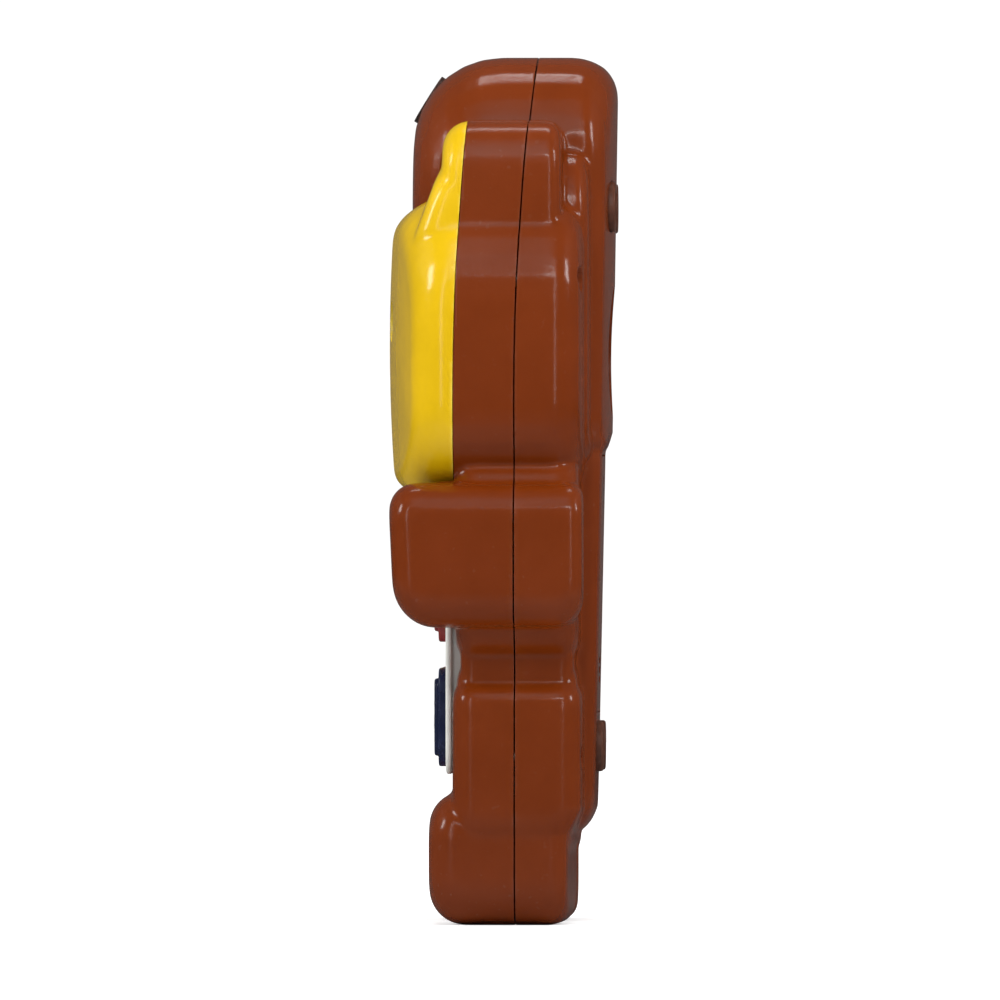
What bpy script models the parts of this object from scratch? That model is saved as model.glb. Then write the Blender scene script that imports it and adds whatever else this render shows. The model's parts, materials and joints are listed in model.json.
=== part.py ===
import math

import bmesh
import bpy
from mathutils import Matrix, Vector

# A toddler's toy phone in the shape of a sitting animal. Lengths are in metres, +Z is up and
# the face looks towards -Y. Depths are measured from the parting plane of the two housing
# halves, and an empty moves the whole toy so that the middle of its footprint is the origin.

# Gaps
seam_gap = 0.0003
fit = 0.0003
pin_fit = 0.0003
overrun = 0.004
merge_distance = 0.00001

# Walls
shell_wall = 0.0022
cover_wall = 0.0020
bay_wall = 0.0015

# Heights of the silhouette, stacked from the soles up
foot_height = 0.0276
ankle_overlap = 0.0098
crotch_height = 0.0280
leg_rise = 0.0222
waist_rise = 0.0058
waist_overlap = 0.0060
arm_lift = 0.0064
arm_height = 0.0295
chin_drop = 0.0035
neck_overlap = 0.0070
head_height = 0.0644
core_rise = 0.0089
ear_rise = 0.0141
ear_overlap = 0.0124
crown_rise = 0.0135
panel_rise = 0.0105
bulge_overlap = 0.0005
tail_height = 0.0178

# Widths of the silhouette from the front
crown_half_width = 0.0250
core_half_width = 0.0330
head_half_width = 0.0460
ear_half_width = 0.0095
ear_offset = 0.0305
arm_half_width = 0.0080
arm_offset = 0.0420
torso_half_width = 0.0440
waist_half_width = 0.0390
pelvis_half_width = 0.0380
leg_half_width = 0.01925
leg_offset = 0.02275
foot_half_width = 0.0180
foot_offset = 0.0230
bulge_half_width = 0.0220

# Depths in front of and behind the parting plane
crown_front = 0.0221
crown_back = 0.0196
panel_back = 0.0179
core_front = 0.0080
core_back = 0.0157
head_back = 0.0141
ear_front = 0.0152
ear_back = 0.0096
arm_front = 0.0251
arm_front_low = 0.0237
arm_back = 0.0143
torso_front = 0.0123
torso_back = 0.0132
waist_front = 0.0113
waist_back = 0.0122
pelvis_front = 0.0120
pelvis_back = 0.0128
leg_front = 0.0129
leg_back = 0.0139
foot_front = 0.0179
foot_back = 0.0133
bulge_front = 0.0080
bulge_back = 0.0177
bulge_back_low = 0.0160

# Corners of the front outlines
crown_corner = 0.0200
panel_corner = 0.0070
core_corner = 0.0140
head_corner = 0.0230
jaw_corner = 0.0190
ear_corner = 0.0094
arm_corner = 0.0070
torso_corner = 0.0080
plain_corner = 0.0040
leg_corner = 0.0080
foot_corner = 0.0090

# Rounded edges of the lobes
crown_brow_round = 0.0175
crown_temple_round = 0.0120
crown_nape_round = 0.0085
crown_side_round = 0.0060
panel_low_round = 0.0015
core_round = 0.0040
head_back_round = 0.0070
ear_front_round = 0.0060
ear_edge_round = 0.0040
ear_back_round = 0.0030
arm_brow_round = 0.0060
arm_edge_round = 0.0050
arm_palm_round = 0.0090
arm_back_round = 0.0030
arm_heel_round = 0.0060
torso_edge_round = 0.0050
torso_lip_round = 0.0030
waist_round = 0.0030
leg_edge_round = 0.0050
leg_top_round = 0.0025
leg_low_round = 0.0055
foot_top_round = 0.0070
foot_toe_round = 0.0075
foot_edge_round = 0.0060
foot_heel_round = 0.0040
bulge_edge_round = 0.0050
bulge_low_round = 0.0060
soft_round = 0.0010
tight_corner_share = 0.1
inner_round_share = 0.2

# Seam: straight below, bending back towards the crown
seam_bend_start = 0.1080
seam_bend_back = 0.0042

# Yellow cover
cover_back = 0.0126
cover_rim = 0.0195
cover_bow = 0.0075
cover_dome_shares = (0.72, 0.4)
cover_edge_round = 0.0055
crown_cut_rise = 0.0070
upright_bow_share = 0.18

# Face inserts
eye_radius = 0.0042
eye_spacing = 0.0270
eye_rise = 0.0370
nose_half_width = 0.0058
nose_half_height = 0.0040
nose_rise = 0.0250
insert_depth = 0.0040

# Key plate and keys
plate_half_width = 0.0310
plate_low = 0.0311
plate_high = 0.0805
plate_corner = 0.0050
plate_proud = 0.0013
plate_edge_round = 0.0008
plate_round_share = 0.3
plate_neck = 0.0033
plate_margin = 0.0015
key_columns = 3
key_rows = 2
key_pitch_x = 0.0190
key_pitch_z = 0.0258
key_half_width = 0.00825
key_half_height = 0.0102
key_corner = 0.0040
key_step_rise = 0.0016
key_top_rise = 0.0025
key_top_inset = 0.0022
key_round = 0.0007
key_flange = 0.0010
key_flange_thickness = 0.0012
key_stem = 0.0005
key_stem_half = 0.0030
key_travel = 0.0015

# Circuit board and rubber mat
mat_thickness = 0.0017
dome_radius = 0.0050
dome_tip_radius = 0.0036
dome_height = 0.0014
board_thickness = 0.0016
board_edge = 0.0026
post_radius = 0.0020
post_offset = 0.0250
post_screw_radius = 0.0010
post_screw_length = 0.0060
post_head_radius = 0.0019
post_head_height = 0.0010
post_head_side_share = 0.6
blob_radius = 0.0055
blob_height = 0.0013
blob_inner_share = 0.5
blob_outer_share = 0.87

# Case screws
boss_radius = 0.0032
case_screw_radius = 0.0014
case_head_radius = 0.0025
case_head_height = 0.0017
case_head_flat_share = 0.8
case_head_slope_share = 0.4
case_seat_depth = 0.0040
case_screw_reach = 0.0065
brow_screw_inset = 0.0070
brow_screw_drop = 0.0190
chest_screw_inset = 0.0068
chest_screw_drop = 0.0115
hip_screw_inset = 0.0065
hip_screw_drop = 0.0150

# Battery bay, door and cells
cell_radius = 0.00525
cell_length = 0.0445
cell_crimp_share = 0.1
nub_radius = 0.0019
nub_height = 0.0011
cell_pitch = 0.0186
cell_room = 0.0003
spring_length = 0.0036
spring_radius = 0.0031
spring_wire = 0.0003
spring_turns = 2.5
spring_taper_share = 0.35
contact_thickness = 0.0004
contact_half_width = 0.0042
bay_low = 0.0454
bay_floor = 0.0029
door_ledge = 0.0015
door_seat = 0.0146
door_screw_drop = 0.0055
door_post_radius = 0.0029
door_screw_radius = 0.0013
door_head_radius = 0.0026
door_head_height = 0.0014
door_head_flat_share = 0.85
door_head_slope_share = 0.3
slot_width_share = 0.2
slot_reach_share = 0.75
door_screw_length = 0.0080
door_tab_half_width = 0.0045
door_tab_depth = 0.0016
door_tab_thickness = 0.0012

# Speaker behind the dished grille
speaker_drop = 0.0610
grille_radius = 0.0140
grille_sink = 0.0006
grille_dish = 0.0014
grille_sheet = 0.0012
grille_slope = 0.0030
grille_flange = 0.0016
grille_hole_radius = 0.0011
grille_hole_pitch = 0.0036
speaker_radius = 0.0140
speaker_rim = 0.0010
speaker_basket_depth = 0.0042
speaker_neck_radius = 0.0088
magnet_radius = 0.0085
magnet_depth = 0.0034
cone_radius = 0.0120
cone_sheet = 0.0005
cone_core_share = 0.3
cone_cap_shares = (0.35, 0.40, 0.42)
cone_roll_shares = (0.85, 0.88, 0.93)

# Earpiece on the front slope of the crown
earpiece_tilt = math.radians(32)
earpiece_radius = 0.0055
earpiece_bore = 0.0036
earpiece_height = 0.0017
earpiece_proud = 0.0004
earpiece_grille_sink = 0.0003

# Power switch between the upper pads
switch_travel = 0.0040
switch_knob_half_width = 0.0030
switch_knob_half_height = 0.0026
switch_knob_height = 0.0012
switch_stem_half = 0.0012
switch_recess = 0.0014
switch_room = 0.0005
switch_body_half_width = 0.0058
switch_body_half_height = 0.0030
switch_body_depth = 0.0040
switch_rail = 0.0012

# Pads on the back
pad_radius = 0.0052
pad_proud = 0.0014
pad_sunk = 0.0008
pad_bevel = 0.0006
upper_pad_offset = 0.0130
upper_pad_drop = 0.0312
lower_pad_offset = 0.0113
lower_pad_drop = 0.0087

# Worked-out heights
hip_top = foot_height + leg_rise
torso_low = hip_top + waist_rise
arm_low = torso_low + arm_lift
arm_top = arm_low + arm_height
head_low = arm_top - chin_drop
head_top = head_low + head_height
ear_top = head_top + ear_rise
crown_top = ear_top + crown_rise
panel_low = head_low + panel_rise
reach = crown_top

# Worked-out places
plate_back_front = leg_front + fit
plate_front = plate_back_front + plate_proud
plate_neck_end = plate_back_front - plate_neck
flange_front = plate_neck_end - fit
flange_back = flange_front - key_flange_thickness
stem_end = flange_back - key_stem
dome_tip = stem_end - key_travel - fit
mat_front = dome_tip - dome_height
mat_back = mat_front - mat_thickness
board_front = mat_back - fit
board_back = board_front - board_thickness
plate_middle = (plate_low + plate_high) / 2
keys_half_width = (key_columns - 1) / 2 * key_pitch_x + key_half_width + key_flange
keys_half_height = (key_rows - 1) / 2 * key_pitch_z + key_half_height + key_flange
post_rise = keys_half_height + post_radius + 2 * fit
bay_half_width = cell_pitch / 2 + cell_radius + cell_room
bay_length = cell_length + spring_length + 2 * contact_thickness + 4 * fit
bay_high = bay_low + bay_length
door_half_width = bay_half_width + door_ledge
door_low = bay_low - door_ledge
door_high = bay_high + door_ledge
speaker_height = crown_top - speaker_drop
switch_height = crown_top - upper_pad_drop

# Colours, roughness and metal share
brown = ((0.262, 0.052, 0.016), 0.28, 0.0)
yellow = ((0.791, 0.516, 0.008), 0.30, 0.0)
white = ((0.780, 0.780, 0.740), 0.40, 0.0)
blue = ((0.012, 0.028, 0.230), 0.35, 0.0)
red = ((0.190, 0.016, 0.014), 0.35, 0.0)
dark = ((0.030, 0.012, 0.008), 0.60, 0.0)
grey = ((0.230, 0.230, 0.230), 0.50, 0.0)
black = ((0.008, 0.008, 0.009), 0.25, 0.0)
green = ((0.010, 0.110, 0.040), 0.45, 0.0)
rubber = ((0.550, 0.550, 0.520), 0.70, 0.0)
steel = ((0.560, 0.560, 0.550), 0.30, 1.0)
silver = ((0.640, 0.640, 0.630), 0.25, 1.0)
paper = ((0.050, 0.045, 0.040), 0.80, 0.0)


for old in list(bpy.data.objects):
    bpy.data.objects.remove(old)

toy = bpy.data.collections.new("toy_phone")
helpers = bpy.data.collections.new("toy_phone_helpers")
bpy.context.scene.collection.children.link(toy)
bpy.context.scene.collection.children.link(helpers)


def add_mesh(name, bm):
    bmesh.ops.recalc_face_normals(bm, faces=bm.faces[:])
    mesh = bpy.data.meshes.new(name)
    bm.to_mesh(mesh)
    bm.free()
    made = bpy.data.objects.new(name, mesh)
    helpers.objects.link(made)
    made.hide_render = True
    made.display_type = "WIRE"
    return made


def bake(thing):
    graph = bpy.context.evaluated_depsgraph_get()
    thing.data = bpy.data.meshes.new_from_object(thing.evaluated_get(graph))
    thing.modifiers.clear()
    return thing


def boolean(thing, operation, others):
    for other in others:
        step = thing.modifiers.new(other.name, "BOOLEAN")
        step.operation = operation
        step.object = other
        step.solver = "MANIFOLD"
    bake(thing)
    for other in others:
        bpy.data.objects.remove(other)
    return thing


def join(thing, *others):
    return boolean(thing, "UNION", others)


def cut(thing, *others):
    return boolean(thing, "DIFFERENCE", others)


def keep(thing, *others):
    return boolean(thing, "INTERSECT", others)


def copy_of(thing, name):
    made = thing.copy()
    made.data = thing.data.copy()
    made.name = name
    helpers.objects.link(made)
    return made


def rounded_outline(half_width, low, high, corners, steps, side_steps=1):
    # Counter-clockwise from the right-hand upper corner, as seen from the front.
    top, bottom = corners
    places = ((1, 1, top), (-1, 1, top), (-1, -1, bottom), (1, -1, bottom))
    points = []
    for index, (side, level, radius) in enumerate(places):
        radius = min(radius, half_width, (high - low) / 2)
        across = side * (half_width - radius)
        up = high - radius if level > 0 else low + radius
        for step in range(steps + 1):
            angle = math.pi / 2 * (index + step / steps)
            points.append((across + radius * math.cos(angle), up + radius * math.sin(angle)))
    if side_steps == 1:
        return points
    full = []
    for index, start in enumerate(points):
        end = points[(index + 1) % len(points)]
        full.append(start)
        if index % (steps + 1) == steps:
            for step in range(1, side_steps):
                share = step / side_steps
                full.append((start[0] + (end[0] - start[0]) * share, start[1] + (end[1] - start[1]) * share))
    return full


def loft(name, rings, origin=(0, 0, 0)):
    # A skin over rings of points, from front to back. The first may be a single point.
    bm = bmesh.new()
    loops = []
    for ring in rings:
        loops.append([bm.verts.new(Vector(point) - Vector(origin)) for point in ring])
    for first, second in zip(loops, loops[1:]):
        for index in range(len(second)):
            after = (index + 1) % len(second)
            near = (first[index], first[after]) if len(first) > 1 else (first[0],)
            bm.faces.new((*near, second[after], second[index]))
    if len(loops[0]) > 1:
        bm.faces.new(loops[0])
    bm.faces.new(reversed(loops[-1]))
    made = add_mesh(name, bm)
    made.location = origin
    return made


def rounding(radius, depth):
    if depth >= radius:
        return 0
    return radius - math.sqrt(radius**2 - (radius - depth) ** 2)


def lobe(
    name,
    middle,
    half_width,
    low,
    high,
    front,
    back,
    corners,
    front_rounds,
    back_rounds,
    front_low=None,
    back_low=None,
    bow=0,
    steps=3,
    side_steps=1,
    dome_shares=(),
):
    # A rounded block whose section across its depth is drawn in near the front and back faces.
    front_low = front if front_low is None else front_low
    back_low = back if back_low is None else back_low
    height = high - low
    centre = (high + low) / 2

    def ring(side, depth, rounds, share=1):
        upper, flank, lower = (rounding(radius, depth) for radius in rounds)
        drawn = (
            max(corners[0] - max(upper, flank), corners[0] * tight_corner_share),
            max(corners[1] - max(lower, flank), corners[1] * tight_corner_share),
        )
        outline = rounded_outline(half_width - flank, low + lower, high - upper, drawn, steps, side_steps)
        points = []
        for across, up in outline:
            across = across * share
            up = centre + (up - centre) * share
            rise = (up - low) / height
            lowest, highest = (front_low, front) if side < 0 else (back_low, back)
            face = lowest + (highest - lowest) * rise
            swell = 0
            if bow and side < 0:
                edge = 1 - (across / half_width) ** 2
                edge = edge * (1 - upright_bow_share * ((up - centre) / height * 2) ** 2)
                settle = max(0, 1 - depth / (front - cover_back))
                swell = bow * edge * settle
            points.append((middle + across, side * (face - depth + swell), up))
        return points

    rings = []
    if dome_shares:
        rings.append(ring(-1, 0, front_rounds, 0)[:1])
    for share in reversed(dome_shares):
        rings.append(ring(-1, 0, front_rounds, share))
    for step in range(steps + 1):
        depth = max(front_rounds) * (1 - math.cos(math.pi / 2 * step / steps))
        rings.append(ring(-1, depth, front_rounds))
    for step in reversed(range(steps + 1)):
        depth = max(back_rounds) * (1 - math.cos(math.pi / 2 * step / steps))
        rings.append(ring(1, depth, back_rounds))
    return loft(name, rings)


def thinner(shape, wall, steps=1):
    inner = dict(shape)
    for key in ("half_width", "high", "front", "back", "front_low", "back_low"):
        if inner.get(key) is not None:
            inner[key] = inner[key] - wall
    inner["low"] = inner["low"] + wall
    for key in ("corners", "front_rounds", "back_rounds"):
        inner[key] = tuple(max(radius - wall, radius * inner_round_share) for radius in inner[key])
    inner["steps"] = steps
    return inner


def block(name, low, high):
    bm = bmesh.new()
    bmesh.ops.create_cube(bm, size=1)
    size = Vector(high) - Vector(low)
    place = Matrix.Translation((Vector(high) + Vector(low)) / 2) @ Matrix.Diagonal(size.to_4d())
    bmesh.ops.transform(bm, matrix=place, verts=bm.verts[:])
    return add_mesh(name, bm)


def rod(name, start, end, radius, sides=12, end_radius=None):
    bm = bmesh.new()
    run = Vector(end) - Vector(start)
    tip = radius if end_radius is None else end_radius
    bmesh.ops.create_cone(bm, cap_ends=True, segments=sides, radius1=radius, radius2=tip, depth=run.length)
    turn = run.to_track_quat("Z", "Y").to_matrix().to_4x4()
    place = Matrix.Translation((Vector(start) + Vector(end)) / 2) @ turn
    bmesh.ops.transform(bm, matrix=place, verts=bm.verts[:])
    return add_mesh(name, bm)


def prism(name, outline, half_length, turn):
    # A flat outline, drawn as a filled curve and thickened to both sides.
    curve = bpy.data.curves.new(name, "CURVE")
    curve.dimensions = "2D"
    curve.fill_mode = "BOTH"
    curve.extrude = half_length
    spline = curve.splines.new("POLY")
    spline.points.add(len(outline) - 1)
    for point, (across, up) in zip(spline.points, outline):
        point.co = (across, up, 0, 1)
    spline.use_cyclic_u = True
    drawn = bpy.data.objects.new(name, curve)
    helpers.objects.link(drawn)
    drawn.rotation_euler = turn
    graph = bpy.context.evaluated_depsgraph_get()
    mesh = bpy.data.meshes.new_from_object(drawn.evaluated_get(graph))
    bm = bmesh.new()
    bm.from_mesh(mesh)
    bmesh.ops.remove_doubles(bm, verts=bm.verts[:], dist=merge_distance)
    bmesh.ops.transform(bm, matrix=drawn.matrix_world.copy(), verts=bm.verts[:])
    bpy.data.objects.remove(drawn)
    return add_mesh(name, bm)


def turned(name, profile, origin, direction, steps=16, closed=False):
    # The profile runs down its outer side; its second number is the height along the direction.
    mesh = bpy.data.meshes.new(name)
    count = len(profile)
    edges = [(index, index + 1) for index in range(count - 1)]
    if closed:
        edges.append((count - 1, 0))
    mesh.from_pydata([(radius, 0, height) for radius, height in profile], edges, [])
    made = bpy.data.objects.new(name, mesh)
    helpers.objects.link(made)
    made.hide_render = True
    made.display_type = "WIRE"
    spin = made.modifiers.new("turn", "SCREW")
    spin.steps = steps
    spin.render_steps = steps
    spin.use_merge_vertices = True
    spin.merge_threshold = merge_distance
    made.rotation_mode = "QUATERNION"
    made.rotation_quaternion = Vector(direction).to_track_quat("Z", "Y")
    made.location = origin
    return bake(made)


def tube(name, points, radius):
    curve = bpy.data.curves.new(name, "CURVE")
    curve.dimensions = "3D"
    curve.bevel_depth = radius
    curve.bevel_resolution = 1
    curve.use_fill_caps = True
    spline = curve.splines.new("POLY")
    spline.points.add(len(points) - 1)
    for point, place in zip(spline.points, points):
        point.co = (*place, 1)
    drawn = bpy.data.objects.new(name, curve)
    helpers.objects.link(drawn)
    graph = bpy.context.evaluated_depsgraph_get()
    mesh = bpy.data.meshes.new_from_object(drawn.evaluated_get(graph))
    bm = bmesh.new()
    bm.from_mesh(mesh)
    bmesh.ops.remove_doubles(bm, verts=bm.verts[:], dist=merge_distance)
    bpy.data.objects.remove(drawn)
    return add_mesh(name, bm)


def gather(name, things):
    # Several solids of one kind kept apart in one object.
    bm = bmesh.new()
    for thing in things:
        piece = thing.data.copy()
        piece.transform(thing.matrix_basis)
        bm.from_mesh(piece)
        bpy.data.objects.remove(thing)
    return add_mesh(name, bm)


def finish(thing, name, look, angle=math.radians(32)):
    colour, roughness, metal = look
    thing.name = name
    thing.data.name = name
    helpers.objects.unlink(thing)
    toy.objects.link(thing)
    thing.hide_render = False
    thing.display_type = "TEXTURED"
    thing.data.shade_smooth()
    thing.data.set_sharp_from_angle(angle=angle)
    material = bpy.data.materials.new(name)
    material.use_nodes = True
    shader = material.node_tree.nodes["Principled BSDF"]
    shader.inputs["Base Color"].default_value = (*colour, 1)
    shader.inputs["Roughness"].default_value = roughness
    shader.inputs["Metallic"].default_value = metal
    thing.data.materials.clear()
    thing.data.materials.append(material)
    return thing


def seam_depth(height):
    rise = max(0, height - seam_bend_start) / (crown_top - seam_bend_start)
    return seam_bend_back * rise**2


def back_depth(height):
    # The raised upper back leans in towards its lower end.
    rise = (height - panel_low) / (crown_top - panel_low)
    return panel_back + (crown_back - panel_back) * rise


def bulge_depth(height):
    rise = (height - tail_height) / (panel_low + bulge_overlap - tail_height)
    return bulge_back_low + (bulge_back - bulge_back_low) * rise


def side_region(name, offset, towards, half_width=None, low=None, high=None):
    # All that lies in front of (-1) or behind (1) the seam surface moved by the offset.
    low = -overrun if low is None else low
    high = crown_top + overrun if high is None else high
    outline = []
    steps = 12
    for step in range(steps + 1):
        height = low + (high - low) * step / steps
        outline.append((seam_depth(height) + offset, height))
    outline.append((towards * reach, high))
    outline.append((towards * reach, low))
    if towards < 0:
        outline.reverse()
    width = 2 * head_half_width if half_width is None else half_width
    return prism(name, outline, width, (math.pi / 2, 0, math.pi / 2))


crown_shape = dict(
    middle=0,
    half_width=crown_half_width,
    low=panel_low,
    high=crown_top,
    front=crown_front,
    back=crown_back,
    back_low=panel_back,
    corners=(crown_corner, panel_corner),
    front_rounds=(crown_brow_round, crown_temple_round, panel_low_round),
    back_rounds=(crown_nape_round, crown_side_round, panel_low_round),
    steps=4,
)
bulge_shape = dict(
    middle=0,
    half_width=bulge_half_width,
    low=tail_height,
    high=panel_low + bulge_overlap,
    front=bulge_front,
    back=bulge_back,
    back_low=bulge_back_low,
    corners=(plain_corner, panel_corner),
    front_rounds=(soft_round, soft_round, soft_round),
    back_rounds=(soft_round, bulge_edge_round, bulge_low_round),
)
core_shape = dict(
    middle=0,
    half_width=core_half_width,
    low=head_low + neck_overlap,
    high=head_top + core_rise,
    front=core_front,
    back=core_back,
    corners=(core_corner, torso_corner),
    front_rounds=(core_round, core_round, core_round),
    back_rounds=(core_round, core_round, core_round),
    steps=3,
)
head_shape = dict(
    middle=0,
    half_width=head_half_width,
    low=head_low,
    high=head_top,
    front=cover_back + overrun,
    back=head_back,
    corners=(head_corner, jaw_corner),
    front_rounds=(soft_round, soft_round, soft_round),
    back_rounds=(head_back_round, head_back_round, head_back_round),
)
ear_shape = dict(
    middle=ear_offset,
    half_width=ear_half_width,
    low=head_top - ear_overlap,
    high=ear_top,
    front=ear_front,
    back=ear_back,
    corners=(ear_corner, plain_corner),
    front_rounds=(ear_front_round, ear_edge_round, soft_round),
    back_rounds=(ear_back_round, ear_back_round, soft_round),
)
arm_shape = dict(
    middle=arm_offset,
    half_width=arm_half_width,
    low=arm_low,
    high=arm_top,
    front=arm_front,
    front_low=arm_front_low,
    back=arm_back,
    corners=(arm_corner, arm_corner),
    front_rounds=(arm_brow_round, arm_edge_round, arm_palm_round),
    back_rounds=(arm_back_round, arm_back_round, arm_heel_round),
)
torso_shape = dict(
    middle=0,
    half_width=torso_half_width,
    low=torso_low,
    high=head_low + neck_overlap,
    front=torso_front,
    back=torso_back,
    corners=(plain_corner, torso_corner),
    front_rounds=(soft_round, torso_edge_round, torso_lip_round),
    back_rounds=(soft_round, torso_edge_round, torso_lip_round),
    steps=3,
)
waist_shape = dict(
    middle=0,
    half_width=waist_half_width,
    low=hip_top - waist_overlap,
    high=torso_low + waist_overlap,
    front=waist_front,
    back=waist_back,
    corners=(plain_corner, plain_corner),
    front_rounds=(soft_round, waist_round, soft_round),
    back_rounds=(soft_round, waist_round, soft_round),
    steps=2,
)
pelvis_shape = dict(
    middle=0,
    half_width=pelvis_half_width,
    low=crotch_height,
    high=hip_top + waist_rise / 2,
    front=pelvis_front,
    back=pelvis_back,
    corners=(plain_corner, plain_corner),
    front_rounds=(soft_round, soft_round, soft_round),
    back_rounds=(soft_round, soft_round, soft_round),
    steps=2,
)
leg_shape = dict(
    middle=leg_offset,
    half_width=leg_half_width,
    low=foot_height - ankle_overlap,
    high=hip_top,
    front=leg_front,
    back=leg_back,
    corners=(plain_corner, leg_corner),
    front_rounds=(leg_top_round, leg_edge_round, leg_low_round),
    back_rounds=(leg_top_round, leg_edge_round, leg_top_round),
    steps=3,
)
foot_shape = dict(
    middle=foot_offset,
    half_width=foot_half_width,
    low=0,
    high=foot_height,
    front=foot_front,
    back=foot_back,
    corners=(foot_corner, foot_corner),
    front_rounds=(foot_top_round, foot_edge_round, foot_toe_round),
    back_rounds=(foot_heel_round, foot_heel_round, foot_heel_round),
)
face_shape = dict(
    middle=0,
    half_width=head_half_width,
    low=head_low,
    high=head_top,
    front=cover_rim,
    back=-cover_back / 2,
    corners=(head_corner, jaw_corner),
    front_rounds=(cover_edge_round, cover_edge_round, cover_edge_round),
    back_rounds=(soft_round, soft_round, soft_round),
    bow=cover_bow,
    side_steps=4,
    dome_shares=cover_dome_shares,
)


def mirrored(shape):
    other = dict(shape)
    other["middle"] = -shape["middle"]
    return other


def head_group(name, wall):
    first = lobe(name, **thinner(head_shape, wall) if wall else head_shape)
    sides = []
    for shape in (ear_shape, mirrored(ear_shape)):
        sides.append(lobe(name + "_ear", **thinner(shape, wall) if wall else shape))
    return join(first, *sides)


def crown_body(name, wall):
    # The crown is cut away where the cover stands in front of the head's deck.
    whole = lobe(name, **thinner(crown_shape, wall) if wall else crown_shape)
    room = side_region(name + "_room", -cover_back + wall, -1, high=head_top - crown_cut_rise + wall)
    return cut(whole, room)


def body(name, wall):
    shapes = [bulge_shape, core_shape, torso_shape, waist_shape, pelvis_shape]
    for shape in (arm_shape, leg_shape, foot_shape):
        shapes += [shape, mirrored(shape)]
    head = head_group(name + "_head", wall)
    keep(head, side_region(name + "_deck", -cover_back + wall, 1))
    others = [crown_body(name + "_crown", wall)]
    for index, shape in enumerate(shapes):
        made = lobe(name + str(index), **thinner(shape, wall) if wall else shape)
        others.append(made)
    return join(head, *others)


# Housing: one hollow body, parted along the seam
housing = body("housing", 0)
outside = copy_of(housing, "outside")
cut(housing, body("cavity", shell_wall))
front_shell = copy_of(housing, "front_shell")
back_shell = housing
keep(front_shell, side_region("front_side", -seam_gap / 2, -1))
keep(back_shell, side_region("back_side", seam_gap / 2, 1))

# Case screws: a boss in each half, and a counterbored hole from the back
screw_places = []
for side in (-1, 1):
    screw_places.append((side * (head_half_width - brow_screw_inset), head_top - brow_screw_drop))
    screw_places.append((side * (torso_half_width - chest_screw_inset), arm_top - chest_screw_drop))
    screw_places.append((side * (leg_offset + leg_half_width - hip_screw_inset), hip_top - hip_screw_drop))
for index, (across, up) in enumerate(screw_places):
    seam = seam_depth(up)
    front_wall = (cover_back - seam) if up > head_low else min(torso_front, leg_front)
    back_wall = head_back if up > head_low else min(torso_back, leg_back)
    boss = rod("boss", (across, -front_wall + shell_wall / 2, up), (across, seam - seam_gap, up), boss_radius)
    join(front_shell, boss)
    hole_end = seam - case_screw_reach - 2 * pin_fit
    thread = case_screw_radius + pin_fit
    cut(front_shell, rod("pilot", (across, hole_end, up), (across, seam + overrun, up), thread))
    seat = seam + case_seat_depth
    boss_end = back_wall - shell_wall / 2
    wide_boss = boss_radius + shell_wall / 4
    boss = rod("boss", (across, seam + seam_gap, up), (across, boss_end, up), wide_boss)
    join(back_shell, boss)
    bore = rod("bore", (across, seat, up), (across, back_wall + overrun, up), case_head_radius + pin_fit)
    hole = rod("hole", (across, seam - overrun, up), (across, seat + overrun, up), thread)
    cut(back_shell, bore, hole)
    top = seat + fit + case_head_height
    profile = (
        (0, 0),
        (case_head_radius * case_head_flat_share, 0),
        (case_head_radius, -case_head_height * case_head_slope_share),
        (case_head_radius, -case_head_height),
        (case_screw_radius, -case_head_height),
        (case_screw_radius, seam - case_screw_reach + case_screw_radius - top),
        (0, seam - case_screw_reach - top),
    )
    screw = turned("screw", profile, (across, top, up), (0, 1, 0), steps=10)
    finish(screw, "case_screw_" + str(index + 1), steel)

# Key plate: a rim on the belly and a neck through the window of the front shell
plate_rings = []
neck_half = plate_half_width - plate_margin
neck_low = plate_low + plate_margin
neck_high = plate_high - plate_margin


def flat_ring(depth, half_width, low, high, corner, steps=2):
    outline = rounded_outline(half_width, low, high, (corner, corner), steps)
    return [(across, depth, up) for across, up in outline]


def grown_ring(depth, extra):
    return flat_ring(
        -depth, plate_half_width + extra, plate_low - extra, plate_high + extra, plate_corner + extra
    )


plate_rings.append(grown_ring(plate_front, -plate_edge_round))
plate_round_step = plate_edge_round * plate_round_share
plate_rings.append(grown_ring(plate_front - plate_round_step, -plate_round_step))
plate_rings.append(grown_ring(plate_front - plate_edge_round, 0))
plate_rings.append(grown_ring(plate_back_front, 0))
plate_rings.append(grown_ring(plate_back_front, -plate_margin))
plate_rings.append(grown_ring(plate_neck_end, -plate_margin))
key_plate = loft("key_plate", plate_rings)
window_rings = [
    grown_ring(plate_front + overrun, -plate_margin + fit),
    grown_ring(plate_neck_end - overrun, -plate_margin + fit),
]
cut(front_shell, loft("window", window_rings))


def key_ring(depth, half_width, half_height, corner, centre):
    across, up = centre
    ring = flat_ring(-depth, half_width, -half_height, half_height, corner)
    return [(x + across, y, z + up) for x, y, z in ring]


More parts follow.
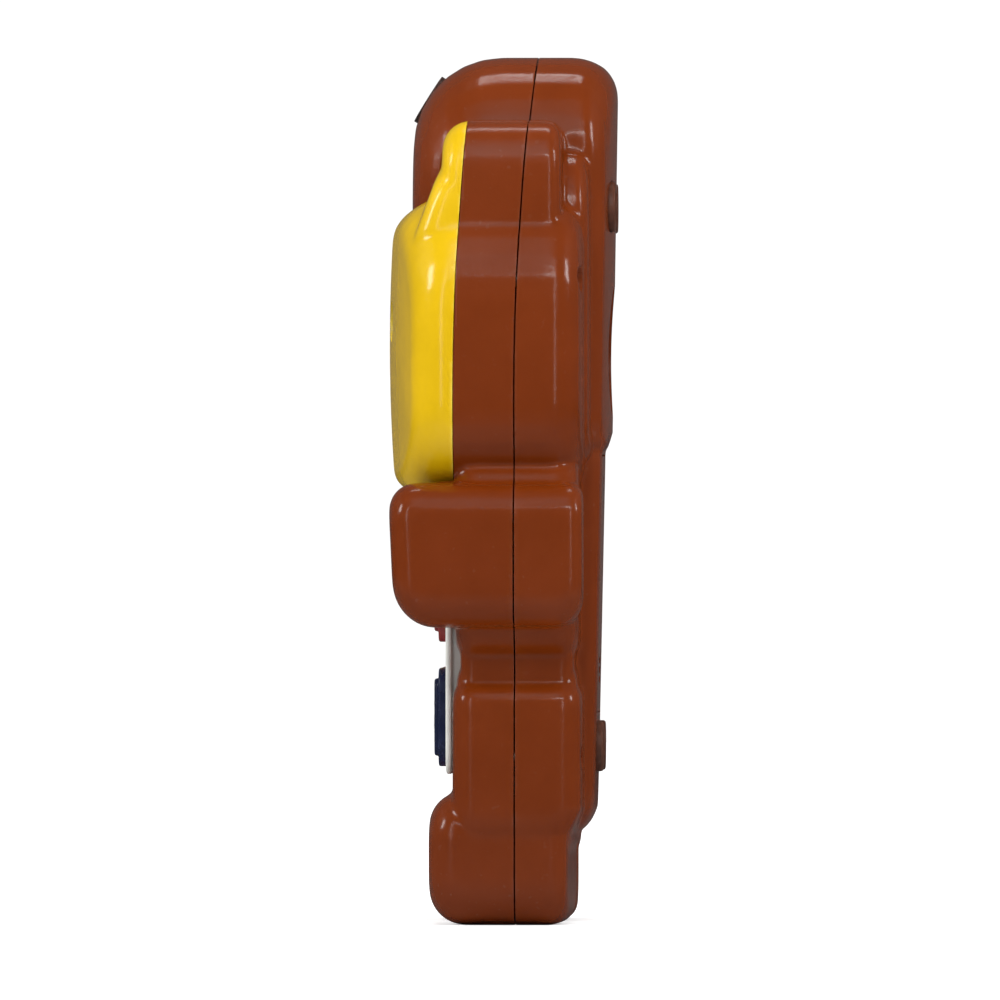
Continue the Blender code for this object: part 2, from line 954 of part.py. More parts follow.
keys = []
key_looks = (blue, yellow, red, yellow, red, blue)
for row in range(key_rows):
    for column in range(key_columns):
        across = (column - (key_columns - 1) / 2) * key_pitch_x
        up = plate_middle + ((key_rows - 1) / 2 - row) * key_pitch_z
        centre = (across, up)
        opening = [
            key_ring(depth, key_half_width + fit, key_half_height + fit, key_corner + fit, centre)
            for depth in (plate_front + overrun, plate_neck_end - overrun)
        ]
        cut(key_plate, loft("opening", opening))
        step_front = plate_front + key_step_rise
        top_front = plate_front + key_top_rise
        top_width = key_half_width - key_top_inset
        top_height = key_half_height - key_top_inset
        top_corner = key_corner - key_top_inset / 2
        flange_width = key_half_width + key_flange
        flange_height = key_half_height + key_flange
        rings = [
            (top_front, top_width - key_round, top_height - key_round, top_corner - key_round),
            (top_front - key_round, top_width, top_height, top_corner),
            (step_front, top_width, top_height, top_corner),
            (step_front, key_half_width - key_round, key_half_height - key_round, key_corner - key_round),
            (step_front - key_round, key_half_width, key_half_height, key_corner),
            (flange_front, key_half_width, key_half_height, key_corner),
            (flange_front, flange_width, flange_height, key_corner),
            (flange_back, flange_width, flange_height, key_corner),
            (flange_back, key_stem_half, key_stem_half, key_stem_half / 2),
            (stem_end, key_stem_half, key_stem_half, key_stem_half / 2),
        ]
        made = loft("key", [key_ring(*ring, centre) for ring in rings], (across, -plate_front, up))
        keys.append((made, centre))
        number = row * key_columns + column
        finish(made, "key_" + str(number + 1), key_looks[number % len(key_looks)])
finish(key_plate, "key_plate", white)

# Rubber mat with a dome under each key, and the board behind it
mat_rings = [
    key_ring(depth, keys_half_width, keys_half_height, key_corner, (0, plate_middle))
    for depth in (mat_front, mat_back)
]
key_mat = loft("key_mat", mat_rings)
domes = []
for made, (across, up) in keys:
    start = (across, -mat_front + mat_thickness / 2, up)
    domes.append(rod("dome", start, (across, -dome_tip, up), dome_radius, 12, dome_tip_radius))
join(key_mat, *domes)
finish(key_mat, "key_mat", rubber)

post_places = []
for side in (-1, 1):
    for level in (-1, 1):
        post_places.append((side * post_offset, plate_middle + level * post_rise))
board_half_width = max(keys_half_width, post_offset + board_edge)
board_half_height = post_rise + board_edge
main_board = block(
    "main_board",
    (-board_half_width, -board_front, plate_middle - board_half_height),
    (board_half_width, -board_back, plate_middle + board_half_height),
)
for index, (across, up) in enumerate(post_places):
    post_root = -torso_front + shell_wall / 2
    join(front_shell, rod("post", (across, post_root, up), (across, -board_front - fit, up), post_radius))
    pilot_end = board_back + fit - post_screw_length - 2 * pin_fit
    pilot_start = -board_back + fit - post_screw_length - pin_fit
    pilot = rod("pilot", (across, pilot_start, up), (across, -board_back, up), post_screw_radius + pin_fit, 8)
    cut(front_shell, pilot)
    through = (across, -board_front - overrun, up), (across, -board_back + overrun, up)
    cut(main_board, rod("hole", *through, post_screw_radius + pin_fit, 8))
    seat = -board_back + fit
    profile = (
        (0, post_head_height),
        (post_head_radius, post_head_height * post_head_side_share),
        (post_head_radius, 0),
        (post_screw_radius, 0),
        (post_screw_radius, -post_screw_length),
        (0, -post_screw_length),
    )
    screw = turned("screw", profile, (across, seat, up), (0, 1, 0), steps=8)
    finish(screw, "board_screw_" + str(index + 1), steel)
finish(main_board, "main_board", green)
blob_place = (-keys_half_width / 2, -board_back + fit, plate_middle - key_pitch_z / 2)
blob_profile = (
    (0, blob_height),
    (blob_radius * blob_inner_share, blob_height * blob_outer_share),
    (blob_radius * blob_outer_share, blob_height * blob_inner_share),
    (blob_radius, 0),
    (0, 0),
)
finish(turned("blob", blob_profile, blob_place, (0, 1, 0), steps=16), "controller_blob", black)

# Battery bay inside the back shell
bay_outer = block(
    "bay",
    (-door_half_width - fit - bay_wall, bay_floor - bay_wall, door_low - fit - bay_wall),
    (door_half_width + fit + bay_wall, bulge_back + overrun, door_high + fit + bay_wall),
)
keep(bay_outer, copy_of(outside, "limit"))
join(back_shell, bay_outer)
bay_room = block(
    "room",
    (-bay_half_width, bay_floor, bay_low),
    (bay_half_width, bulge_back + overrun, bay_high),
)
door_room = block(
    "door_room",
    (-door_half_width - fit, door_seat - fit, door_low - fit),
    (door_half_width + fit, bulge_back + overrun, door_high + fit),
)
cut(back_shell, bay_room, door_room)
post_up = bay_high - door_screw_drop
post_root = bay_floor - bay_wall / 2
post = rod("door_post", (0, post_root, post_up), (0, door_seat - fit, post_up), door_post_radius)
join(back_shell, post)
screw_base = door_seat - door_screw_length
thread_low = screw_base - 2 * pin_fit
thread = door_screw_radius + pin_fit
cut(back_shell, rod("thread", (0, thread_low, post_up), (0, door_seat + overrun, post_up), thread))

# Door: the part of the housing's own surface over the bay, with two tabs under its lower edge
battery_door = block(
    "battery_door",
    (-door_half_width, door_seat, door_low),
    (door_half_width, bulge_back + overrun, door_high),
)
keep(battery_door, outside)
tab_low = door_seat - door_tab_depth
tab_top = door_seat + door_tab_thickness / 2
for side in (-1, 1):
    across = side * bay_half_width / 2
    tab_edge = bay_low + fit
    tab = block(
        "tab",
        (across - door_tab_half_width / 2, tab_low, tab_edge),
        (across + door_tab_half_width / 2, tab_top, tab_edge + door_tab_thickness),
    )
    join(battery_door, tab)
head_room = door_head_radius + pin_fit
head_seat = bulge_depth(post_up) - door_head_height - pin_fit
cut(
    battery_door,
    rod("head_room", (0, head_seat, post_up), (0, bulge_back + overrun, post_up), head_room),
    rod("hole", (0, door_seat - overrun, post_up), (0, bulge_back, post_up), thread),
)
finish(battery_door, "battery_door", brown)
head_top_depth = head_seat + fit + door_head_height
profile = (
    (0, 0),
    (door_head_radius * door_head_flat_share, 0),
    (door_head_radius, -door_head_height * door_head_slope_share),
    (door_head_radius, -door_head_height),
    (door_screw_radius, -door_head_height),
    (door_screw_radius, screw_base - head_top_depth),
    (0, screw_base - head_top_depth),
)
door_screw = turned("door_screw", profile, (0, head_top_depth, post_up), (0, 1, 0), steps=12)
slot_half = door_head_radius * slot_width_share
slot_reach = door_head_radius * slot_reach_share
slot_low = head_top_depth - door_head_height / 2
for long_way in (0, 1):
    wide = slot_reach if long_way else slot_half
    tall = slot_half if long_way else slot_reach
    cut(
        door_screw,
        block(
            "slot",
            (-wide, slot_low, post_up - tall),
            (wide, head_top_depth + overrun, post_up + tall),
        ),
    )
finish(door_screw, "door_screw", steel)

# Cells, one the other way up, with sprung contacts at their flat ends
cell_depth = bay_floor + cell_room + cell_radius
contact_low = bay_low + fit
contact_high = bay_high - fit
cell_crimp = cell_radius * cell_crimp_share
cell_profile = (
    (0, cell_length),
    (nub_radius, cell_length),
    (nub_radius, cell_length - nub_height),
    (cell_radius - cell_crimp, cell_length - nub_height),
    (cell_radius, cell_length - nub_height - cell_crimp),
    (cell_radius, cell_crimp),
    (cell_radius - cell_crimp, 0),
    (0, 0),
)
for number, side in enumerate((-1, 1)):
    across = side * cell_pitch / 2
    start = contact_low + contact_thickness + fit
    end = contact_high - contact_thickness - fit
    place, way = ((across, cell_depth, start + cell_length), (0, 0, -1)) if side < 0 else (
        (across, cell_depth, end - cell_length),
        (0, 0, 1),
    )
    cell = turned("cell", cell_profile, place, way, steps=14)
    finish(cell, "battery_" + str(number + 1), silver)
    spring_points = []
    turns = round(spring_turns * 8)
    coil_length = spring_length - 2 * fit - 2 * spring_wire
    for step in range(turns + 1):
        share = step / turns
        angle = 2 * math.pi * spring_turns * share
        radius = spring_radius * (1 - spring_taper_share * share)
        base = end if side < 0 else start
        run = (fit / 2 + spring_wire + coil_length * share) * (-1 if side < 0 else 1)
        spring_points.append(
            (across + radius * math.cos(angle), cell_depth + radius * math.sin(angle), base + run)
        )
    finish(tube("spring", spring_points, spring_wire), "contact_spring_" + str(number + 1), steel)
contact_half = cell_pitch / 2 + contact_half_width
finish(
    block(
        "bridge",
        (-contact_half, cell_depth - contact_half_width, contact_low),
        (contact_half, cell_depth + contact_half_width, contact_low + contact_thickness),
    ),
    "contact_bridge",
    steel,
)
for number, side in enumerate((-1, 1)):
    across = side * cell_pitch / 2
    tab = block(
        "tab",
        (across - contact_half_width, cell_depth - contact_half_width, contact_high - contact_thickness),
        (across + contact_half_width, cell_depth + contact_half_width, contact_high),
    )
    finish(tab, "contact_tab_" + str(number + 1), steel)

# Dished grille and the speaker behind it
grille_rim = back_depth(speaker_height) - grille_sink
dish_floor = grille_rim - grille_dish
grille_back = dish_floor - grille_sheet
hole_start = (0, grille_back - overrun, speaker_height)
cut(back_shell, rod("grille_hole", hole_start, (0, reach, speaker_height), grille_radius + fit, 24))
flange_top = back_depth(speaker_height - grille_radius) - shell_wall - fit
flange_low = min(flange_top - grille_flange / 2, grille_back)
grille_profile = (
    (0, dish_floor),
    (grille_radius - grille_slope, dish_floor),
    (grille_radius - grille_slope / 3, grille_rim),
    (grille_radius, grille_rim),
    (grille_radius, flange_top),
    (grille_radius + grille_flange, flange_top),
    (grille_radius + grille_flange, flange_low),
    (0, flange_low),
)
speaker_grille = turned(
    "speaker_grille",
    [(radius, height - grille_rim) for radius, height in grille_profile],
    (0, grille_rim, speaker_height),
    (0, 1, 0),
    steps=24,
)
holes = []
for ring_number, count in ((0, 1), (1, 6), (2, 12)):
    for index in range(count):
        angle = 2 * math.pi * index / count
        across = ring_number * grille_hole_pitch * math.cos(angle)
        up = speaker_height + ring_number * grille_hole_pitch * math.sin(angle)
        start = (across, flange_low - overrun, up)
        holes.append(rod("hole", start, (across, reach, up), grille_hole_radius, 6))
cut(speaker_grille, gather("holes", holes))
finish(speaker_grille, "speaker_grille", brown)

frame_top = flange_low - fit
rim_low = frame_top - speaker_rim
basket_low = frame_top - speaker_basket_depth
frame_profile = (
    (speaker_radius, frame_top),
    (speaker_radius, rim_low),
    (speaker_radius - speaker_rim, rim_low),
    (speaker_neck_radius, basket_low),
    (cone_radius * cone_core_share, basket_low),
    (cone_radius * cone_core_share, basket_low + speaker_rim),
    (speaker_neck_radius - speaker_rim, basket_low + speaker_rim),
    (cone_radius + fit, frame_top - 2 * cone_sheet - fit),
    (cone_radius + fit, frame_top),
)
speaker_place = (0, frame_top, speaker_height)


def from_frame_top(profile):
    return [(radius, height - frame_top) for radius, height in profile]


speaker_frame = turned("speaker_frame", from_frame_top(frame_profile), speaker_place, (0, 1, 0), closed=True)
finish(speaker_frame, "speaker_frame", steel)
magnet_top = basket_low - fit
magnet_low = magnet_top - magnet_depth
magnet_profile = (
    (0, magnet_top),
    (magnet_radius, magnet_top),
    (magnet_radius, magnet_low + fit),
    (magnet_radius - fit, magnet_low),
    (0, magnet_low),
)
finish(turned("magnet", from_frame_top(magnet_profile), speaker_place, (0, 1, 0)), "speaker_magnet", steel)
cone_foot = basket_low + speaker_rim + fit
cone_profile = (
    (0, cone_foot + cone_sheet * 3),
    (cone_radius * cone_cap_shares[0], cone_foot + cone_sheet * 2),
    (cone_radius * cone_cap_shares[1], cone_foot + cone_sheet),
    (cone_radius * cone_roll_shares[0], frame_top - cone_sheet),
    (cone_radius * cone_roll_shares[2], frame_top - fit),
    (cone_radius, frame_top - cone_sheet),
    (cone_radius, frame_top - 2 * cone_sheet),
    (cone_radius * cone_roll_shares[1], frame_top - 2 * cone_sheet),
    (cone_radius * cone_cap_shares[2], cone_foot),
    (0, cone_foot),
)
finish(turned("cone", from_frame_top(cone_profile), speaker_place, (0, 1, 0)), "speaker_cone", paper)

# Power switch: a recess and a slot in the crown's back, a knob and the switch under it
switch_face = back_depth(switch_height)
recess_floor = switch_face - switch_recess
recess_half = switch_travel / 2 + switch_knob_half_width + switch_room
recess_tall = switch_knob_half_height + switch_room
slot_half_width = switch_travel / 2 + switch_stem_half + fit
inner_face = switch_face - shell_wall
rail_inner = switch_body_half_width + fit
rail_end = inner_face - switch_body_depth
for side in (-1, 1):
    rail_low = min(side * rail_inner, side * (rail_inner + switch_rail))
    rail = block(
        "rail",
        (rail_low, rail_end, switch_height - switch_body_half_height),
        (rail_low + switch_rail, inner_face + shell_wall / 3, switch_height + switch_body_half_height),
    )
    join(back_shell, rail)
cut(
    back_shell,
    block(
        "recess",
        (-recess_half, recess_floor, switch_height - recess_tall),
        (recess_half, reach, switch_height + recess_tall),
    ),
    block(
        "slot",
        (-slot_half_width, inner_face - overrun / 2, switch_height - switch_stem_half - fit),
        (slot_half_width, reach, switch_height + switch_stem_half + fit),
    ),
)
knob_across = -switch_travel / 2
knob_low = recess_floor + fit
knob_top = knob_low + switch_knob_height
body_top = inner_face - fit


def knob_ring(depth, inset):
    outline = rounded_outline(
        switch_knob_half_width - inset,
        switch_height - switch_knob_half_height + inset,
        switch_height + switch_knob_half_height - inset,
        (switch_stem_half / 2, switch_stem_half / 2),
        2,
    )
    return [(across + knob_across, depth, up) for across, up in outline]


knob_edge = switch_knob_height / 4
switch_knob = loft(
    "switch_knob",
    [
        knob_ring(knob_top, knob_edge),
        knob_ring(knob_top - knob_edge, 0),
        knob_ring(knob_low, 0),
    ],
    (knob_across, knob_low, switch_height),
)
stem = block(
    "stem",
    (-switch_stem_half, body_top + fit - knob_low, -switch_stem_half),
    (switch_stem_half, knob_edge, switch_stem_half),
)
stem.location = switch_knob.location
join(switch_knob, stem)
finish(switch_knob, "switch_knob", black)
switch_body = block(
    "switch_body",
    (-switch_body_half_width, body_top - switch_body_depth, switch_height - switch_body_half_height),
    (switch_body_half_width, body_top, switch_height + switch_body_half_height),
)
finish(switch_body, "switch_body", grey)

# Pads on the back
pad_places = (
    ("pad_upper_left", -upper_pad_offset, switch_height, back_depth(switch_height)),
    ("pad_upper_right", upper_pad_offset, switch_height, back_depth(switch_height)),
    ("pad_lower_left", -lower_pad_offset, bay_low - lower_pad_drop, bulge_depth(bay_low - lower_pad_drop)),
    ("pad_lower_right", lower_pad_offset, bay_low - lower_pad_drop, bulge_depth(bay_low - lower_pad_drop)),
)
for name, across, up, face in pad_places:
    low = face - pad_sunk
    cut(back_shell, rod("pad_room", (across, low, up), (across, reach, up), pad_radius + fit, 16))
    height = pad_sunk + pad_proud - fit
    profile = (
        (0, height),
        (pad_radius - pad_bevel, height),
        (pad_radius, height - pad_bevel),
        (pad_radius, 0),
        (0, 0),
    )
    finish(turned(name, profile, (across, low + fit, up), (0, 1, 0)), name, dark)

# Yellow cover: the domed face and the fronts of the ears, hollow and open at the back
face_cover = lobe("face_cover", **face_shape)
for shape in (ear_shape, mirrored(ear_shape)):
    join(face_cover, lobe("ear_front", **shape))
cover_side = side_region("cover_side", -cover_back - fit, -1)
keep(face_cover, cover_side)
cover_solid = copy_of(face_cover, "cover_solid")
inner_face_shape = thinner(face_shape, cover_wall, 2)
inner_face_shape["side_steps"] = 2
cover_hollow = lobe("cover_hollow", **inner_face_shape)
for shape in (ear_shape, mirrored(ear_shape)):
    join(cover_hollow, lobe("ear_hollow", **thinner(shape, cover_wall)))
cut(face_cover, cover_hollow)
crown_room = lobe("crown_room", **thinner(crown_shape, -fit, 4))
arm_rooms = [lobe("arm_room", **thinner(shape, -fit, 3)) for shape in (arm_shape, mirrored(arm_shape))]
cut(face_cover, crown_room, *arm_rooms)

# Eyes and nose: plugs that follow the cover's surface
eye_up = head_low + eye_rise
nose_up = head_low + nose_rise
insert_places = (
    ("eye_left", -eye_spacing / 2, eye_up, eye_radius, eye_radius),
    ("eye_right", eye_spacing / 2, eye_up, eye_radius, eye_radius),
    ("nose", 0, nose_up, nose_half_width, nose_half_height),
)
plug_back = cover_rim + cover_bow - insert_depth


def plug(name, across, up, half_width, half_height, extra, start):
    rings = []
    for depth in (cover_rim + cover_bow + overrun, start):
        outline = rounded_outline(
            half_width + extra,
            up - half_height - extra,
            up + half_height + extra,
            (half_height + extra, half_height + extra),
            4,
        )
        rings.append([(x + across, -depth, z) for x, z in outline])
    return loft(name, rings)


for name, across, up, half_width, half_height in insert_places:
    cut(face_cover, plug("room", across, up, half_width, half_height, 0, plug_back - overrun))
    made = plug(name, across, up, half_width, half_height, -fit, plug_back)
    keep(made, copy_of(cover_solid, "surface"))
    finish(made, name, black)
bpy.data.objects.remove(cover_solid)
finish(face_cover, "face_cover", yellow)

# Earpiece: a ring with a dark grille on the front slope of the crown
slope_centre = Vector((0, -crown_front + crown_brow_round, crown_top - crown_brow_round))
slope_way = Vector((0, -math.cos(earpiece_tilt), math.sin(earpiece_tilt)))
ring_face = slope_centre + slope_way * (crown_brow_round + earpiece_proud)
ring_foot = slope_centre + slope_way * (crown_brow_round + earpiece_proud - earpiece_height)
cut(
    front_shell,
    rod("ring_room", ring_foot - slope_way * fit, ring_face + slope_way * overrun, earpiece_radius + fit, 20),
)
edge = earpiece_proud / 2
ring_profile = (
    (earpiece_radius - edge, 0),
    (earpiece_radius, -edge),
    (earpiece_radius, -earpiece_height),
    (earpiece_bore, -earpiece_height),
    (earpiece_bore, 0),
)
earpiece_ring = turned("earpiece_ring", ring_profile, ring_face, slope_way, closed=True)
finish(earpiece_ring, "earpiece_ring", dark)
grille_disc_top = -earpiece_grille_sink
disc_profile = (
    (0, grille_disc_top),
    (earpiece_bore - fit, grille_disc_top),
    (earpiece_bore - fit, -earpiece_height),
    (0, -earpiece_height),
)
earpiece_grille = turned("earpiece_grille", disc_profile, ring_face, slope_way)
finish(earpiece_grille, "earpiece_grille", grey)

finish(front_shell, "front_shell", brown)
finish(back_shell, "back_shell", brown)

# The empty that puts the middle of the footprint at the origin
front_reach = cover_rim + cover_bow
back_reach = back_depth(switch_height) + pad_proud
root = bpy.data.objects.new("toy_phone_origin", None)
bpy.context.scene.collection.objects.link(root)
root.location = (0, (front_reach - max(back_reach, crown_back)) / 2, 0)
for made in toy.objects:
    made.parent = root
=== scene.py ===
import json
import math

import bpy
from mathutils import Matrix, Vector

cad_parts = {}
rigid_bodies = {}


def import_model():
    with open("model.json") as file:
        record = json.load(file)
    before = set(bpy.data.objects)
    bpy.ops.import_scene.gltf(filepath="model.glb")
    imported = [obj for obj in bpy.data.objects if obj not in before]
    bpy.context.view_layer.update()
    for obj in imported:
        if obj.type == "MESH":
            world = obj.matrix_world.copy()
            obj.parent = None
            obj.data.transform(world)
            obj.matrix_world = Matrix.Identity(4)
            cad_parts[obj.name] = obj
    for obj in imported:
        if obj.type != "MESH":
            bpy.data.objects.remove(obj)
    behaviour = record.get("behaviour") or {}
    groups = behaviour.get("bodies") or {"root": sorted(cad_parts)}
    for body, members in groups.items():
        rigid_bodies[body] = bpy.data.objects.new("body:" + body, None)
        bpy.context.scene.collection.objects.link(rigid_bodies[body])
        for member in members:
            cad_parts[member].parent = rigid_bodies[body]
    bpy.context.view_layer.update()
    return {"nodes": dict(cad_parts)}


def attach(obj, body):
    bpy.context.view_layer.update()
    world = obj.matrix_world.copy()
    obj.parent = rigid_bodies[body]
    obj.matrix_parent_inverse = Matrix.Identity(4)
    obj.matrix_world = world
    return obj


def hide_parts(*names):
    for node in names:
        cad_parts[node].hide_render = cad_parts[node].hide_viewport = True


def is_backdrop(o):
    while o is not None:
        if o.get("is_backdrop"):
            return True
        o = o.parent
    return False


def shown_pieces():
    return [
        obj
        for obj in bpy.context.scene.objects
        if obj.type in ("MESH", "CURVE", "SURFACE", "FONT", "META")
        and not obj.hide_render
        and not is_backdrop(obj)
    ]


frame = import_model()
leastWall = 1.1  # of the housing, in mm
partingPlane = 3.3254  # where the seam plane lies behind the middle of the footprint, in mm
mm = 0.001
outside = 30  # past the front and the back of everything, in mm


def deselectAll():
    if bpy.context.mode != "OBJECT":
        bpy.ops.object.mode_set(mode="OBJECT")
    for thing in bpy.context.view_layer.objects:
        thing.select_set(False)


def activate(thing):
    deselectAll()
    thing.select_set(True)
    bpy.context.view_layer.objects.active = thing
    return thing


def deleteThing(thing):
    bpy.data.objects.remove(thing)


def applyModifier(thing, kind, **settings):
    activate(thing)
    step = thing.modifiers.new("step", kind)
    for key, value in settings.items():
        setattr(step, key, value)
    bpy.ops.object.modifier_apply(modifier=step.name)
    return thing


def carve(thing, cutter, operation="DIFFERENCE", keepCutter=False):
    applyModifier(thing, "BOOLEAN", object=cutter, operation=operation, solver="MANIFOLD")
    if not keepCutter:
        deleteThing(cutter)
    return thing


def duplicate(thing, name):
    made = thing.copy()
    made.data = thing.data.copy()
    made.name = name
    bpy.context.scene.collection.objects.link(made)
    return made


def leaveEdit():
    bpy.ops.object.mode_set(mode="OBJECT")


def extrudeBy(along=0.0, up=0.0):
    bpy.ops.mesh.extrude_region_move(TRANSFORM_OT_translate={"value": (0, along * mm, up * mm)})


def insetBy(thickness, depth=0.0):
    bpy.ops.mesh.inset(thickness=thickness * mm, depth=depth * mm)


def pickNothing(thing, faces):
    activate(thing)
    bpy.context.tool_settings.mesh_select_mode = (False, not faces, faces)
    for parts in (thing.data.vertices, thing.data.edges, thing.data.polygons):
        parts.foreach_set("select", [False] * len(parts))


def pickFaces(thing, test):
    # selects faces by place or normal, then goes on in edit mode
    pickNothing(thing, True)
    for face in thing.data.polygons:
        face.select = test(face)
    bpy.ops.object.mode_set(mode="EDIT")


def pickEdges(thing, test):
    pickNothing(thing, False)
    points = thing.data.vertices
    for edge in thing.data.edges:
        start, end = (points[index].co for index in edge.vertices)
        edge.select = test(start, end)
    bpy.ops.object.mode_set(mode="EDIT")


def tidyMesh(thing, merge=0.000002):
    activate(thing)
    bpy.ops.object.mode_set(mode="EDIT")
    bpy.ops.mesh.select_all(action="SELECT")
    bpy.ops.mesh.remove_doubles(threshold=merge)
    bpy.ops.mesh.normals_make_consistent(inside=False)
    leaveEdit()
    return thing


def settle(thing):
    activate(thing)
    bpy.ops.object.transform_apply(location=True, rotation=True, scale=True)
    return thing


def smoothShade(thing, angle=35):
    activate(thing)
    bpy.ops.object.shade_smooth_by_angle(angle=math.radians(angle))
    return thing


def addBox(name, low, high):
    # corners in mm, measured from the seam plane
    size = [(b - a) * mm for a, b in zip(low, high)]
    middle = [(a + b) / 2 * mm for a, b in zip(low, high)]
    middle[1] += partingPlane * mm
    bpy.ops.mesh.primitive_cube_add(size=1, location=middle, scale=size)
    made = bpy.context.object
    made.name = name
    return settle(made)


def addRod(name, start, end, radius, sides=48, endRadius=None):
    start, end = (Vector((p[0], p[1] + partingPlane, p[2])) * mm for p in (start, end))
    run = end - start
    tip = radius if endRadius is None else endRadius
    bpy.ops.mesh.primitive_cone_add(
        vertices=sides, radius1=radius * mm, radius2=tip * mm, depth=run.length,
        location=(start + end) / 2, rotation=run.to_track_quat("Z", "Y").to_euler(),
    )
    made = bpy.context.object
    made.name = name
    return settle(made)


def roundBox(name, low, high, corner, segments=8, axis=1):
    # a box whose four edges along one axis are rounded
    made = addBox(name, low, high)
    pickEdges(made, lambda a, b: abs((b - a).normalized()[axis]) > 0.99)
    bpy.ops.mesh.bevel(offset=corner * mm, segments=segments, affect="EDGES")
    leaveEdit()
    return made


def bevelEdges(thing, width, segments=3, angle=30):
    return applyModifier(
        thing, "BEVEL", width=width * mm, segments=segments, limit_method="ANGLE",
        angle_limit=math.radians(angle), use_clamp_overlap=True,
    )


def insetAt(radius, depth):
    if depth >= radius:
        return 0.0
    return radius - math.sqrt(max(radius ** 2 - (radius - depth) ** 2, 0.0))


def drawIn(thing, side, spec, steps):
    # pulls the front (-1) or back (1) face out in rings that follow each edge's own radius
    x0, x1 = spec["across"]
    z0, z1 = spec["up"]
    radii = spec["frontRound"] if side < 0 else spec["backRound"]
    radius = max(radii)
    middle = (x0 + x1) / 2 * mm
    pickFaces(thing, lambda face: face.normal.y * side > 0.99)
    was = (x1 - x0, z1 - z0, (z0 + z1) / 2)
    forwardWas = 0.0
    for step in range(1, steps + 1):
        forward = radius * math.sin(math.pi / 2 * step / steps)
        depth = radius - forward
        top, flank, bottom = (insetAt(r, depth) for r in radii)
        now = (x1 - x0 - 2 * flank, z1 - z0 - top - bottom, (z0 + z1 + bottom - top) / 2)
        extrudeBy(side * (forward - forwardWas))
        bpy.ops.transform.resize(
            value=(now[0] / was[0], 1, now[1] / was[1]), center_override=(middle, 0, was[2] * mm)
        )
        bpy.ops.transform.translate(value=(0, 0, (now[2] - was[2]) * mm))
        was, forwardWas = now, forward
    leaveEdit()
    return was


def addLobe(name, spec, grow=0.0, steps=7, corners=8):
    # a rounded block: outline corners first, then the rounding into the front and back faces
    spec = dict(spec)
    x0, x1 = spec["across"]
    z0, z1 = spec["up"]
    spec["across"], spec["up"] = (x0 - grow, x1 + grow), (z0 - grow, z1 + grow)
    for key in ("frontRound", "backRound"):
        spec[key] = tuple(max(r + grow, 0.25) for r in spec[key])
    front = spec["front"] + grow
    back = spec["back"] + grow
    frontFlat = front - max(spec["frontRound"])
    backFlat = back - max(spec["backRound"])
    x0, x1 = spec["across"]
    z0, z1 = spec["up"]
    made = addBox(name, (x0, -frontFlat, z0), (x1, backFlat, z1))
    middle = (z0 + z1) / 2 * mm
    most = min(x1 - x0, z1 - z0) / 2 - 0.02
    for level, corner in zip((1, -1), spec["corners"]):
        corner = min(max(corner + grow, 0.3), most)
        pickEdges(
            made,
            lambda a, b: abs((b - a).normalized().y) > 0.99
            and (a.z - middle) * level > 0
            and abs(abs(a.x - (x0 + x1) / 2 * mm) - (x1 - x0) / 2 * mm) < 1e-6,
        )
        bpy.ops.mesh.bevel(offset=corner * mm, segments=corners, affect="EDGES")
    if spec.get("sideCuts"):
        pickEdges(made, lambda a, b: abs(a.y - b.y) < 1e-7 and (b - a).length > 0.008)
        bpy.ops.mesh.subdivide(number_cuts=spec["sideCuts"])
    drawIn(made, 1, spec, steps)
    was = drawIn(made, -1, spec, steps)
    if spec.get("bow"):
        domeFace(made, spec, was)
    lean(made, spec, front, back)
    return tidyMesh(made)


def domeFace(thing, spec, was):
    # inner rings on the front face, then the whole front swells towards its middle
    x0, x1 = spec["across"]
    z0, z1 = spec["up"]
    centre = Vector(((x0 + x1) / 2, 0, (z0 + z1) / 2))
    half = ((x1 - x0) / 2, (z1 - z0) / 2)
    frontMost = min(point.co.y for point in thing.data.vertices)
    pickFaces(thing, lambda face: face.normal.y < -0.99 and face.center.y < frontMost + 1e-6)
    share = 1.0
    for nextShare in (0.86, 0.72, 0.58, 0.44, 0.3, 0.16, 0.06):
        extrudeBy()
        factor = nextShare / share
        bpy.ops.transform.resize(value=(factor, 1, factor), center_override=(centre.x * mm, 0, was[2] * mm))
        share = nextShare
    leaveEdit()
    seat = spec["seat"]
    for point in thing.data.vertices:
        forward = -(point.co.y / mm - partingPlane)
        if forward <= seat:
            continue
        edge = 1 - abs((point.co.x / mm - centre.x) / half[0]) ** spec["bowPower"]
        edge *= 1 - spec["uprightBow"] * ((point.co.z / mm - centre.z) / half[1]) ** 2
        share = min(1.0, (forward - seat) / (spec["front"] - seat))
        point.co.y -= spec["bow"] * max(edge, 0.0) * share * mm


def lean(thing, spec, front, back):
    frontLow = spec.get("frontLow", spec["front"]) + front - spec["front"]
    backLow = spec.get("backLow", spec["back"]) + back - spec["back"]
    if frontLow == front and backLow == back:
        return
    z0, z1 = spec["up"]
    for point in thing.data.vertices:
        rise = (point.co.z / mm - z0) / (z1 - z0)
        depth = point.co.y / mm - partingPlane
        if depth < 0:
            depth *= (frontLow + (front - frontLow) * rise) / front
        else:
            depth *= (backLow + (back - backLow) * rise) / back
        point.co.y = (depth + partingPlane) * mm


def mirroredSpec(spec):
    other = dict(spec)
    x0, x1 = spec["across"]
    other["across"] = (-x1, -x0)
    return other


def joinThings(name, things):
    deselectAll()
    for thing in things:
        thing.select_set(True)
    bpy.context.view_layer.objects.active = things[0]
    bpy.ops.object.join()
    made = bpy.context.object
    made.name = name
    return made


def blendSkin(thing, voxel, rounds):
    # one closed skin over lobes that pass through each other, with soft hollows where they meet
    applyModifier(thing, "REMESH", mode="VOXEL", voxel_size=voxel * mm)
    applyModifier(thing, "SMOOTH", factor=0.5, iterations=rounds)
    return thing


